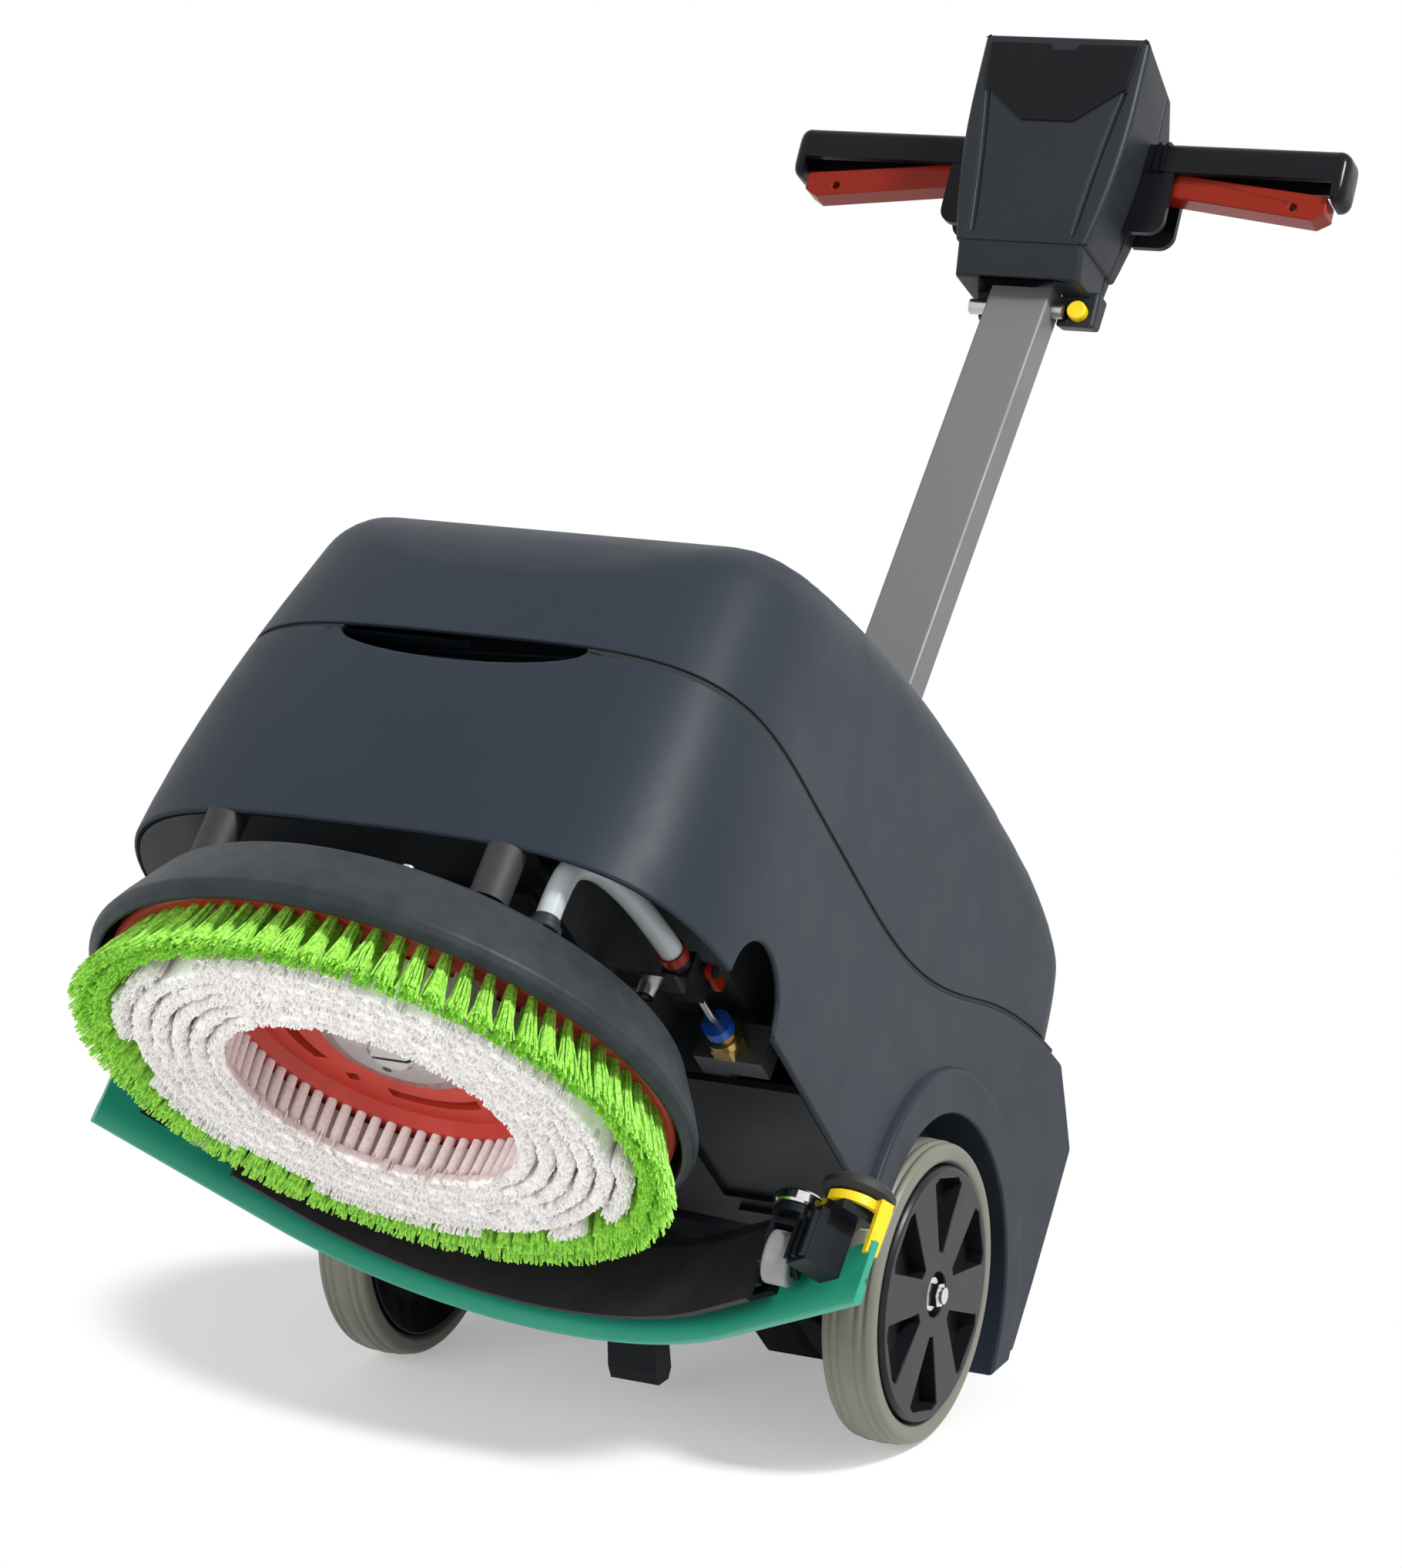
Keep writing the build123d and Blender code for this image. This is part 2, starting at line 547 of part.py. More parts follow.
def brush_drive():
    """The steel drive: gearbox hub, plated disc under the centre plate and slotted nut."""
    plate_top, plate_low = BLOCK_W[1], BLOCK_W[0] + 8
    top = SKIRT_W[1] - GAP
    disc, nut = plate_low - 4, plate_low - 10
    drive = turned([(0, nut), (12, nut), (15, nut + 2), (15, disc), (38, disc), (48, disc + 2), (48, plate_low),
                    (DRIVE_R, plate_low), (DRIVE_R, plate_top), (30, plate_top), (30, top - 8), (20, top),
                    (0, top)], 0, BRUSH_U)
    for turn in range(0, 360, 120):
        drive = drive - Pos(0, BRUSH_U, disc) * Rot(0, 0, turn) * Pos(30, 0, 0) * Cylinder(3, 6)
    return drive - block(-16, 16, BRUSH_U - 1.5, BRUSH_U + 1.5, nut - 1, disc - 1)


def green_bristles():
    """The outer rows of stiff bristles, splayed outwards."""
    base, tip = BLOCK_W[0], BRUSH_TIP_W
    return turned([(164, base), (173, base), (BRUSH_TIP_R, tip), (170, tip)], 0, BRUSH_U)


def white_bristles():
    """The inner rows of soft bristles round the open centre."""
    base, tip = BLOCK_W[0], BRUSH_TIP_W
    return turned([(98, base), (163, base), (169, tip), (92, tip)], 0, BRUSH_U)


# ---------------------------------------------------------------- squeegee
def bend_face(near, far, trim=0.0):
    """Plan of a strip along the squeegee's bend between two radii: arc, then straight ends."""
    half = math.radians(SQUEEGEE_ARC)
    run = SQUEEGEE_END - trim
    centre = SQUEEGEE_BACK - SQUEEGEE_R

    def place(radius, side, along):
        c, s = math.cos(half), math.sin(half)
        return side * (radius * s + along * c), centre + radius * c - along * s

    def curve(radius):
        return ThreePointArc(place(radius, -1, 0), (0, centre + radius), place(radius, 1, 0))

    outer, inner = curve(far), curve(near)
    right = Polyline(place(far, 1, 0), place(far, 1, run), place(near, 1, run), place(near, 1, 0))
    left = Polyline(place(near, -1, 0), place(near, -1, run), place(far, -1, run), place(far, -1, 0))
    return make_face(outer + right + inner + left)


def bend_strip(near, far, w0, w1, trim=0.0):
    """A strip along the bend, standing from w0 to w1."""
    return Pos(0, 0, w0) * extrude(bend_face(near, far, trim), amount=w1 - w0)


def end_place(side, along, out=0.0):
    """A point beside the straight end of the squeegee, in its own plan."""
    half = math.radians(SQUEEGEE_ARC)
    c, s = math.cos(half), math.sin(half)
    radius = SQUEEGEE_R + out
    return side * (radius * s + along * c), SQUEEGEE_BACK - SQUEEGEE_R + radius * c - along * s


def squeegee_blade():
    """The curved rear blade with its thicker wiping edge."""
    low, top = BLADE_W
    blade = bend_strip(SQUEEGEE_R - BLADE_T, SQUEEGEE_R, low, top)
    return blade + bend_strip(SQUEEGEE_R, SQUEEGEE_R + 1.5, low, low + 13)


def squeegee_strip():
    """The dark front strip that keeps the pick-up channel closed."""
    return bend_strip(SQUEEGEE_R - 24, SQUEEGEE_R - 20, -113, CARRIER_W[1] - 6, STRIP_TRIM)


def squeegee_carrier():
    """The channel that holds blade and strip, open downwards to the suction."""
    low, top = CARRIER_W
    roof = bend_strip(SQUEEGEE_R - 24, SQUEEGEE_R, top - 6, top, 14)
    back = bend_strip(SQUEEGEE_R - BLADE_T - 5, SQUEEGEE_R - BLADE_T, low, top - 6, STRIP_TRIM)
    front = bend_strip(SQUEEGEE_R - 20, SQUEEGEE_R - 16, low, top - 6, STRIP_TRIM)
    neck = rod_w(16, top, top + 16, 0, SQUEEGEE_BACK - 13)
    carrier = roof + back + front + neck - rod_w(13, top - 10, top + 30, 0, SQUEEGEE_BACK - 13)
    for side in (1, -1):
        x, u = end_place(side, *ROLLER_PLACE)
        carrier = carrier + rod_w(15, top - 6, top, x, u)
    return carrier


def squeegee_arms():
    """Two flat arms and the swivel eye over the carrier."""
    low, top = ARM_W
    arms = rod_w(16, low, top, 0, 0)
    for side in (1, -1):
        x, u = end_place(side, 10, -12)
        web = make_face(Polyline((0, -13), (0, 13), (x - side * 8, u + 12), (x, u - 6), close=True))
        arms = arms + Pos(0, 0, low) * extrude(web, amount=top - low)
    return arms - rod_w(SWIVEL_R + RUNNING, low - 5, top + 5, 0, 0)


def guide_roller(side):
    """A grey guide roller with its dark hub, rolling fore and aft."""
    x, u = end_place(1, *ROLLER_PLACE)
    tread = Cylinder(ROLLER_R, 2 * ROLLER_HALF)
    tread = fillet(tread.edges().filter_by(GeomType.CIRCLE), 2.5)
    for face in (1, -1):
        tread = tread - Pos(0, 0, face * ROLLER_HALF) * Cylinder(10, 5)
    tread = tread - Cylinder(ROLLER_PIN_R + RUNNING, 40)
    return mirrored(Pos(x, u, ROLLER_W) * Rot(0, 90, 0) * tread, side)


def roller_fork(side):
    """The fork over a guide roller, with its pin, hung from the end bracket."""
    x, u = end_place(1, *ROLLER_PLACE)
    cheek = ROLLER_HALF + 0.5
    top = ROLLER_W + ROLLER_R + 2
    fork = block(x - cheek - 3, x + cheek + 3, u - 9, u + 9, top, top + 4)
    for face in (1, -1):
        x0, x1 = sorted((x + face * cheek, x + face * (cheek + 3)))
        fork = fork + block(x0, x1, u - 9, u + 9, ROLLER_W - 8, top)
    pin = rod_x(ROLLER_PIN_R, x - cheek - 5, x + cheek + 5, u, ROLLER_W)
    stem = rod_w(7, top + 4, CARRIER_W[1] - 6, x, u)
    return mirrored(fork + pin + stem, side)


def roller_cap(side):
    """The plated height adjuster disc over a guide roller."""
    x, u = end_place(1, *ROLLER_PLACE)
    low = CARRIER_W[1]
    return mirrored(turned([(0, low), (16, low), (17, low + 1.5), (17, low + 7), (15, low + 9), (0, low + 9)],
                           x, u), side)


def end_bracket(side):
    """The ribbed bracket that closes an end of the carrier, with the post of its bumper roller."""
    low, top = CARRIER_W[0], CARRIER_W[1] - 6
    lean = Rot(0, 0, -SQUEEGEE_ARC)
    x, u = end_place(1, 106, -17)
    bracket = Pos(x, u, (low + top) / 2) * lean * Box(20, 26, top - low)
    for run in (-8, 0, 8):
        x, u = end_place(1, 106 + run, -31.5)
        bracket = bracket + Pos(x, u, (low + top) / 2 - 1) * lean * Box(3, 4, top - low - 6)
    return mirrored(bracket, side)


def bumper_post(side):
    """The stepped post that a bumper roller turns on."""
    x, u = end_place(1, *BUMPER_PLACE)
    top = CARRIER_W[1]
    return mirrored(turned([(0, top), (17, top), (17, top + 8), (BUMPER_PIN_R, top + 8),
                            (BUMPER_PIN_R, top + 22), (0, top + 22)], x, u), side)


def bumper_roller(side):
    """The black bumper roller at an end of the squeegee."""
    x, u = end_place(1, *BUMPER_PLACE)
    low = CARRIER_W[1] + 8 + GAP
    bore = BUMPER_PIN_R + RUNNING
    ring = turned([(bore, low), (17, low), (BUMPER_R - 3, low + 1), (BUMPER_R, low + 4), (BUMPER_R, low + 8),
                   (BUMPER_R - 3, low + 11), (bore, low + 11)], x, u)
    return mirrored(ring, side)


def bumper_clip(side):
    """The yellow C clip under a bumper roller, its tail hooked over the blade's end."""
    x, u = end_place(1, *BUMPER_PLACE)
    low, high = CARRIER_W[1] + 1, CARRIER_W[1] + 7
    lean = Rot(0, 0, -SQUEEGEE_ARC)
    ring = rod_w(20.5, low, high, x, u)
    opening = Pos(x, u, low + 3) * Rot(0, 0, -SQUEEGEE_ARC - 110) * Pos(20, 0, 0) * Box(30, 16, 12)
    x, u = end_place(1, 131, -1)
    bridge = Pos(x, u, (low + high) / 2) * lean * Box(16, 9, high - low)
    x, u = end_place(1, 137, -1)
    tail = Pos(x, u, (high - 86) / 2) * lean * Box(4, 9, high + 86)
    clip = ring - opening + bridge + tail - bend_strip(SQUEEGEE_R - BLADE_T, SQUEEGEE_R + 1.5, *BLADE_W)
    x, u = end_place(1, *BUMPER_PLACE)
    return mirrored(clip - rod_w(17, low - 1, high + 1, x, u), side)


def swivel_post():
    """The sliding post that lifts the squeegee and carries its swivel pin."""
    top = FRAME_W[0] - LIFT - 2
    return turned([(0, top), (POST_R, top), (POST_R, -48), (14, -48), (14, ARM_W[1] + GAP),
                   (SWIVEL_R, ARM_W[1] + GAP), (SWIVEL_R, ARM_W[0] - GAP), (11, ARM_W[0] - GAP),
                   (11, ARM_W[0] - 8), (0, ARM_W[0] - 8)], 0, PIVOT_U)


def lift_guide():
    """The sleeve under the frame plate that the lifting post slides in."""
    return turned([(POST_R + RUNNING, -32), (15, -32), (15, -8), (24, -8), (24, FRAME_W[0]),
                   (POST_R + RUNNING, FRAME_W[0])], 0, PIVOT_U)


def squeegee_set(piece):
    """Carry a piece drawn in the squeegee's own plan to its parked place on the machine."""
    return Pos(0, PIVOT_U, 0) * Rot(0, 0, SQUEEGEE_REST) * piece


def lift_pedal():
    """The foot pedal between the wheels that raises the squeegee."""
    u, w = PEDAL_PIVOT
    plan = side_face([(u - 8, w + 6), (u + 8, w + 8), (26, -46), (48, -62), (50, -70), (40, -80), (30, -76),
                      (-8, -40), (u - 8, w - 6)])
    return across(plan, -18, 18) - rod_x(PEDAL_PIN_R + RUNNING, -30, 30, u, w)


def pedal_pin():
    """The pedal's pin between the cheeks of the chassis."""
    return rod_x(PEDAL_PIN_R, -BRACKET_X[1], BRACKET_X[1], *PEDAL_PIVOT)


# ---------------------------------------------------------------- clean water line
def hose_path():
    """Route of the water hose from the skirt inlet up and over to the tap."""
    x, u = HOSE_START
    points = [(x, u, SKIRT_W[1] + 8), (x, u, -4), (x + 3, u + 12, 16), (x + 10, u + 36, 24),
              (x + 20, u + 64, 21), (TAP_X, -406, 15), (TAP_X, -388, 15)]
    return FilletPolyline(*points, radius=13)


def water_hose():
    """The clear hose, clipped at both ends."""
    path = hose_path()
    section = Plane(path @ 0, z_dir=path % 0) * Circle(HOSE_R)
    return sweep(section, path)


def hose_clamp():
    """The red clamp ring at the tap end of the hose."""
    return rod_u(HOSE_R + 1.5, -397, -389, TAP_X, 15) - rod_u(HOSE_R, -400, -380, TAP_X, 15)


def tap_body():
    """The body of the water tap with its spindle and screw head."""
    body = rod_u(HOSE_R + 0.5, -388, -382, TAP_X, 15) + block(TAP_X - 9, TAP_X + 9, -382, -352, 6, 24)
    spindle = rod_x(2.5, TAP_X + 8, TAP_X + 17, *TAP_PIVOT) + rod_x(4, TAP_X + 16.5, TAP_X + 18, *TAP_PIVOT)
    return body + rod_x(5, TAP_X + 9, TAP_X + 12, *TAP_PIVOT) + spindle


def tap_lever():
    """The red lever that turns the tap."""
    u, w = TAP_PIVOT
    lever = block(TAP_X + 12 + GAP, TAP_X + 16, u - 5, u + 19, w - 4, w + 4)
    lever = fillet(lever.edges().filter_by(Axis.X), 3)
    return lever - rod_x(2.5 + RUNNING, 100, 200, u, w)


def tap_bracket():
    """The plated bracket that holds the tap to the chassis, with its socket screw."""
    foot = block(66, 100, -384, -366, -6.5, -4)
    riser = block(97.5, 100, -384, -366, -4, 6)
    shelf = block(100, TAP_X + 2, -384, -366, 3.5, 6)
    screw = rod_w(6, -6, 3.5, TAP_X - 18, -374) - rod_w(3, -8, -2, TAP_X - 18, -374)
    return foot + riser + shelf + screw


def feed_tube():
    """The thin steel tube from the tap to the tank coupling."""
    return rod_u(3, -352, -312, TAP_X, 15)


def feed_collet():
    """The blue push-in collet."""
    return rod_u(9.5, -312, -304, TAP_X, 15)


def feed_coupling():
    """The brass coupling under the tank."""
    hexagon = Pos(TAP_X, -294, 15) * Rot(-90, 0, 0) * extrude(RegularPolygon(12.5, 6), amount=10)
    return rod_u(8, -304, -300, TAP_X, 15) + rod_u(11.5, -300, -294, TAP_X, 15) + hexagon


def tank_outlet():
    """The moulded outlet that the coupling screws into, joined to the step of the tank."""
    elbow = block(TAP_X - 22, TAP_X + 24, -284, -266, 5, 32)
    return elbow + block(TAP_X - 22, TAP_X - 4, -266, -262, 5, 32)


# ---------------------------------------------------------------- handle
def handle_tube():
    """The rectangular handle tube, capped at the top, with a cross boss round each of its pins."""
    low = HANDLE_PIVOT[1] - 16
    u0, u1 = TUBE_U
    half = TUBE_X / 2
    tube = block(-half, half, u0, u1, low, TUBE_TOP)
    tube = fillet(tube.edges().filter_by(Axis.Z), 3)
    tube = tube - block(-half + 2, half - 2, u0 + 2, u1 - 2, low - 5, TUBE_TOP - 3)
    for u, w in (HANDLE_PIVOT, HEAD_PIVOT):
        boss = rod_x(10, -half + 1, half - 1, u, w)
        tube = tube + boss - rod_x(PIN_R + RUNNING, -60, 60, u, w)
    return tube


def tube_bolt():
    """The cross bolt through the tube over the body."""
    head = Pos(16, TUBE_U[0], 300) * Rot(90, 0, 0)
    return head * extrude(RegularPolygon(5.5, 6), amount=3.5)


# ---------------------------------------------------------------- control head
# Its pieces are drawn in the head's own frame: x across, y behind the front face, z up the face,
# with the origin at the middle of the front face's lower edge.
def head_set(piece):
    """Carry a piece from the head's own frame to its place on the machine."""
    return Pos(0, *HEAD_CORNER) * Rot(HEAD_LEAN, 0, 0) * piece


def head_point(x, u, w):
    """A machine point in the head's own frame."""
    lean = math.radians(HEAD_LEAN)
    du, dw = u - HEAD_CORNER[0], w - HEAD_CORNER[1]
    return x, du * math.cos(lean) + dw * math.sin(lean), dw * math.cos(lean) - du * math.sin(lean)


def head_flank(side):
    """One flank of the head in the front view, flaring towards the top."""
    points = [(side * x, 120, h) for x, h in HEAD_FLANK]
    return Spline(*points, tangents=[(side * 0.22, 0, 1), (side * 0.02, 0, 1)])


def head_form():
    """The whole control head: wedge shaped, wider at the top, with two ears beside the tube."""
    low_x, high_x = HEAD_FLANK[0][0], HEAD_FLANK[-1][0]
    front = make_face(head_flank(1) + head_flank(-1) + Line((low_x, 120, 0), (-low_x, 120, 0))
                      + Line((high_x, 120, 190), (-high_x, 120, 190)))
    side = side_face([(0, 0), (0, 174), (68, 157), (85, 129), (84, 80), (76, 20), (70, 0)])
    form = across(side, -100, 100) & extrude(front, amount=160, dir=(0, -1, 0))
    form = fillet([e for e in form.edges() if abs(e.center().X) > 40 and e.center().Z > 10], 5)
    neck = across(side_face([(0.5, 0), (9, HEAD_LOW), (60, HEAD_LOW), (70, 0)]), -NECK_X, NECK_X)
    form = form + fillet([e for e in neck.edges() if abs(e.center().X) > 1 and e.center().Y < 9], 5)
    left, right = EAR_X
    ears = Polyline((left, 120, -10), (left, 120, -34), (left + 9, 120, -55), (right, 120, -55),
                    (right, 120, -10), close=True)
    ears = extrude(make_face(ears), amount=160, dir=(0, -1, 0))
    ears = ears & across(side_face([(EAR_B, -50), (EAR_B, -20), (58, -20), (54, -47)]), -100, 100)
    corners = [e for e in ears.edges() if e.center().X > right - 1 and abs(e.center().Y - EAR_B) < 0.5]
    _, _, pivot_h = head_point(0, *HEAD_PIVOT)
    return form + fillet(corners, 4) - block(-SLOT_X, SLOT_X, HEAD_WALL, 120, -90, pivot_h + SLOT_R)


def head_split(behind):
    """Everything in front of, or behind, the joint between the two mouldings of the head."""
    limits = (HEAD_JOINT, 140) if behind else (-20, HEAD_JOINT)
    return block(-100, 100, *limits, -80, 200)


def head_room():
    """The hollow inside the head."""
    return fillet(block(-50, 50, 5, 74, 6, 143).edges().filter_by(Axis.Z), 6)


def head_front():
    """The front moulding: sculpted face and the ears beside the tube."""
    shell = (head_form() & head_split(False)) - head_room()
    _, b, h = head_point(0, *HEAD_PIVOT)
    shell = shell - rod_x(PIN_R, -100, HEAD_PIN_X[1], b, h)
    shell = shell - rod_u(BUTTON_R + RUNNING, EAR_B - 10, BUTTON_FLOOR, BUTTON_X, BUTTON_H)
    for side in (1, -1):
        line = ThreePointArc((side * 56, -1, 128), (side * 47, -1, 66), (side * 41, -1, 8))
        groove = sweep(Plane(line @ 0, z_dir=line % 0) * Circle(2.2), line)
        shell = shell - groove
    return shell


def head_rear():
    """The rear cover of the head."""
    return (head_form() & head_split(True)) - head_room()


def head_panel():
    """The glossy shield-shaped panel on the face, left plain."""
    outline = [(-61, 167), (-12, 167), (-9, 162), (9, 162), (12, 167), (61, 167), (58, 131), (21, 102),
               (-21, 102), (-58, 131)]
    return extrude(make_face(Polyline(*[(x, 0, h) for x, h in outline], close=True)), amount=1.6, dir=(0, -1, 0))


def head_pin():
    """The pin that the head tilts on."""
    _, b, h = head_point(0, *HEAD_PIVOT)
    return rod_x(PIN_R, *HEAD_PIN_X, b, h)


def tilt_button():
    """The yellow button that frees the head's tilt."""
    button = rod_u(BUTTON_R, BUTTON_FLOOR - 14, BUTTON_FLOOR - BUTTON_TRAVEL - 0.5, BUTTON_X, BUTTON_H)
    edge = button.edges().filter_by(GeomType.CIRCLE).sort_by(Axis.Y)[0]
    return fillet(edge, 1.5)


def grip(side):
    """A handgrip with an open channel below for its lever and a hooked outer end."""
    front, back = GRIP_B - GRIP_HALF, GRIP_B + GRIP_HALF
    bar = block(60, GRIP_END, front, back, GRIP_H - 13, GRIP_H + 13)
    bar = bar + block(LEVER_END + 3, GRIP_END, front, back, GRIP_H - 29, GRIP_H - 13)
    bar = fillet(bar.edges().filter_by(Axis.X), 5)
    cheek = block(60, 92, front, back, LEVER_H - 46, GRIP_H - 12)
    cheek = fillet(cheek.edges().filter_by(Axis.Y), 6)
    bar = bar + cheek
    channel = block(72, LEVER_END + 3, GRIP_B - LEVER_HALF - 1, GRIP_B + LEVER_HALF + 1, 0, GRIP_H + 7)
    bar = bar - channel - rod_u(LEVER_PIN_R, GRIP_B - 40, GRIP_B + 40, LEVER_PIVOT_X, LEVER_H)
    for x in (74, 80):
        bar = bar + (block(x, x + 3, front - 2, back + 2, GRIP_H - 13, GRIP_H + 15) - channel)
    return mirrored(bar - head_form(), side)


def lever_pin(side):
    """The pin of a trigger lever."""
    pin = rod_u(LEVER_PIN_R, GRIP_B - GRIP_HALF + 1, GRIP_B + GRIP_HALF - 1, LEVER_PIVOT_X, LEVER_H)
    return mirrored(pin, side)


def lever(side):
    """A red trigger lever: a tapering channel with a small hole near its outer end."""
    outline = [(74, LEVER_H + 6), (74, LEVER_H - 8), (86, LEVER_H - 12), (LEVER_END - 10, LEVER_H - 26),
               (LEVER_END, LEVER_H - 20), (LEVER_END, LEVER_H - 6), (100, LEVER_H + 6)]
    face = make_face(Polyline(*[(x, GRIP_B + LEVER_HALF, h) for x, h in outline], close=True))
    bar = extrude(face, amount=2 * LEVER_HALF, dir=(0, -1, 0))
    bar = fillet(bar.edges().filter_by(Axis.Y).group_by(Axis.X)[-1], 3)
    bar = bar - rod_u(3, 0, 140, LEVER_END - 26, LEVER_H - 16)
    bar = bar - rod_u(LEVER_PIN_R + RUNNING, 0, 140, LEVER_PIVOT_X, LEVER_H)
    return mirrored(bar, side)


# ---------------------------------------------------------------- assembly
def gathered(*pieces):
    """Separate solids of one node."""
    return Compound([solid for piece in pieces for solid in piece.solids()])


def both(make):
    """The right and left copies of a piece as one node."""
    return gathered(make(1), make(-1))


def machine_pieces():
    """What is fixed to the chassis."""
    return {
        "body_shell": body_shell(),
        "hood_seal": hood_seal(),
        "under_deck": under_deck(),
        "chassis": chassis(),
        "axle": gathered(axle(), wheel_spacer(1), wheel_spacer(-1)),
        "wheel_nuts": both(wheel_nut),
        "chassis_pins": gathered(handle_pin(), pedal_pin()),
        "lift_guide": lift_guide(),
        "gearbox": gearbox(),
        "brush_motor": brush_motor(),
        "vacuum_motor": vacuum_motor(),
        "vacuum_mount": vacuum_mount(),
        "control_box": control_box(),
        "clean_tank": clean_tank() + tank_outlet(),
        "dirty_tank": dirty_tank(),
        "splash_skirt": splash_skirt(),
        "buffer_posts": buffer_posts(),
        "skirt_bolts": skirt_bolts(),
        "water_hose": water_hose(),
        "hose_clamp": hose_clamp(),
        "tap_body": tap_body(),
        "tap_bracket": tap_bracket(),
        "feed_tube": feed_tube(),
        "feed_collet": feed_collet(),
        "feed_coupling": feed_coupling(),
    }


def moving_pieces():
    """Hood, wheels, brush, tap lever and squeegee lift."""
    return {
        "hood": hood(),
        "tyre_right": tyre(1),
        "tyre_left": tyre(-1),
        "wheel_hub_right": wheel_hub(1),
        "wheel_hub_left": wheel_hub(-1),
        "brush_block": brush_block(),
        "brush_drive": brush_drive(),
        "green_bristles": green_bristles(),
        "white_bristles": white_bristles(),
        "tap_lever": tap_lever(),
        "lift_pedal": lift_pedal(),
        "swivel_post": swivel_post(),
    }


def squeegee_pieces():
    """The squeegee in its own plan."""
    return {
        "squeegee_blade": squeegee_blade(),
        "squeegee_strip": squeegee_strip(),
        "squeegee_carrier": squeegee_carrier(),
        "squeegee_arms": squeegee_arms(),
        "roller_forks": both(roller_fork),
        "roller_caps": both(roller_cap),
        "end_brackets": gathered(*[make(side) for make in (end_bracket, bumper_post) for side in (1, -1)]),
        "bumper_clips": both(bumper_clip),
        "guide_roller_right": guide_roller(1),
        "guide_roller_left": guide_roller(-1),
        "bumper_roller_right": bumper_roller(1),
        "bumper_roller_left": bumper_roller(-1),
    }


def head_pieces():
    """The control head in its own frame."""
    return {
        "head_front": head_front(),
        "head_rear": head_rear(),
        "head_panel": head_panel(),
        "head_pins": gathered(head_pin(), lever_pin(1), lever_pin(-1)),
        "tilt_button": tilt_button(),
        "grip_right": grip(1),
        "grip_left": grip(-1),
        "lever_right": lever(1),
        "lever_left": lever(-1),
    }


def all_pieces():
    """Every node in the machine's working frame."""
    pieces = {**machine_pieces(), **moving_pieces()}
    pieces.update({name: squeegee_set(piece) for name, piece in squeegee_pieces().items()})
    pieces["handle_tube"] = handle_tube()
    pieces["tube_bolt"] = tube_bolt()
    pieces.update({name: head_set(piece) for name, piece in head_pieces().items()})
    return pieces


def parked():
    """Placement that tips the machine back about its axle onto the floor."""
    return Pos(0, 0, WHEEL_R) * Rot(-TILT, 0, 0)


def main():
    """Build every node, centre the parked machine on the origin and write the parts."""
    os.makedirs("parts", exist_ok=True)
    stood = {name: parked() * piece for name, piece in all_pieces().items()}
    boxes = [piece.bounding_box() for piece in stood.values()]
    low = [min(getattr(b.min, axis) for b in boxes) for axis in "XYZ"]
    high = [max(getattr(b.max, axis) for b in boxes) for axis in "XYZ"]
    centre = [round((a + b) / 2, 3) for a, b in zip(low, high)]
    print("nodes", len(stood), "low", low, "high", high)
    print("frame moved by", -centre[0], -centre[1], "mm in X and Y")
    for name, piece in stood.items():
        export_step(Pos(-centre[0], -centre[1], 0) * piece, f"parts/{name}.step")


if __name__ == "__main__":
    main()
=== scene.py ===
"""Walk-behind wet and dry floor scrubber, parked on its wheels and tail with the handle upright.

Pieces are drawn in millimetres in the machine's own working frame: x across the machine, u towards
the tail and w away from the floor that it scrubs, with the origin in the middle of the wheel axle.
WorkFrame carries them to the parked machine in metres.
"""

import logging
import math
from dataclasses import dataclass
from enum import Enum

import bmesh
import bpy
import numpy as np
from mathutils import Matrix, Vector


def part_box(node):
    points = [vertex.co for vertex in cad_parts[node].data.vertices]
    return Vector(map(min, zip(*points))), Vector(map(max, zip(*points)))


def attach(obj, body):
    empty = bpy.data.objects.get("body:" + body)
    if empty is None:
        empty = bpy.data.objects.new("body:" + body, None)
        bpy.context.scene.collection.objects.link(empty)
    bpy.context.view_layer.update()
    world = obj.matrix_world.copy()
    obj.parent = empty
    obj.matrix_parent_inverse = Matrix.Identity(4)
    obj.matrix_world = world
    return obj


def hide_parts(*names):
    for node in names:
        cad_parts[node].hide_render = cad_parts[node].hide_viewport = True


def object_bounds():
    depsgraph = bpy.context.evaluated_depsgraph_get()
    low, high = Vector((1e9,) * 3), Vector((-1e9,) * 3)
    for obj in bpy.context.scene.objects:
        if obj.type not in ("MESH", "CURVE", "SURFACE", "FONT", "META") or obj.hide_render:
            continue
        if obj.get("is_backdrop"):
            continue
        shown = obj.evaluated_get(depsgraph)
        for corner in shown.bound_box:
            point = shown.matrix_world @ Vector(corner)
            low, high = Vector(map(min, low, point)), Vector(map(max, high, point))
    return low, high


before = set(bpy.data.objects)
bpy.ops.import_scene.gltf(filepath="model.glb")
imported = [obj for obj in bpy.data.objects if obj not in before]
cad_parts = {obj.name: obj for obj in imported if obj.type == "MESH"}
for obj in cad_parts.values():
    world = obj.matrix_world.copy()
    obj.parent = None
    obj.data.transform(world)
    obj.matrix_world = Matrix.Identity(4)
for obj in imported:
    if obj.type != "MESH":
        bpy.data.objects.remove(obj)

LOG = logging.getLogger("scrubber")
MM_PER_METRE = 1000.0
Triple = tuple[float, float, float]
Colour = Triple


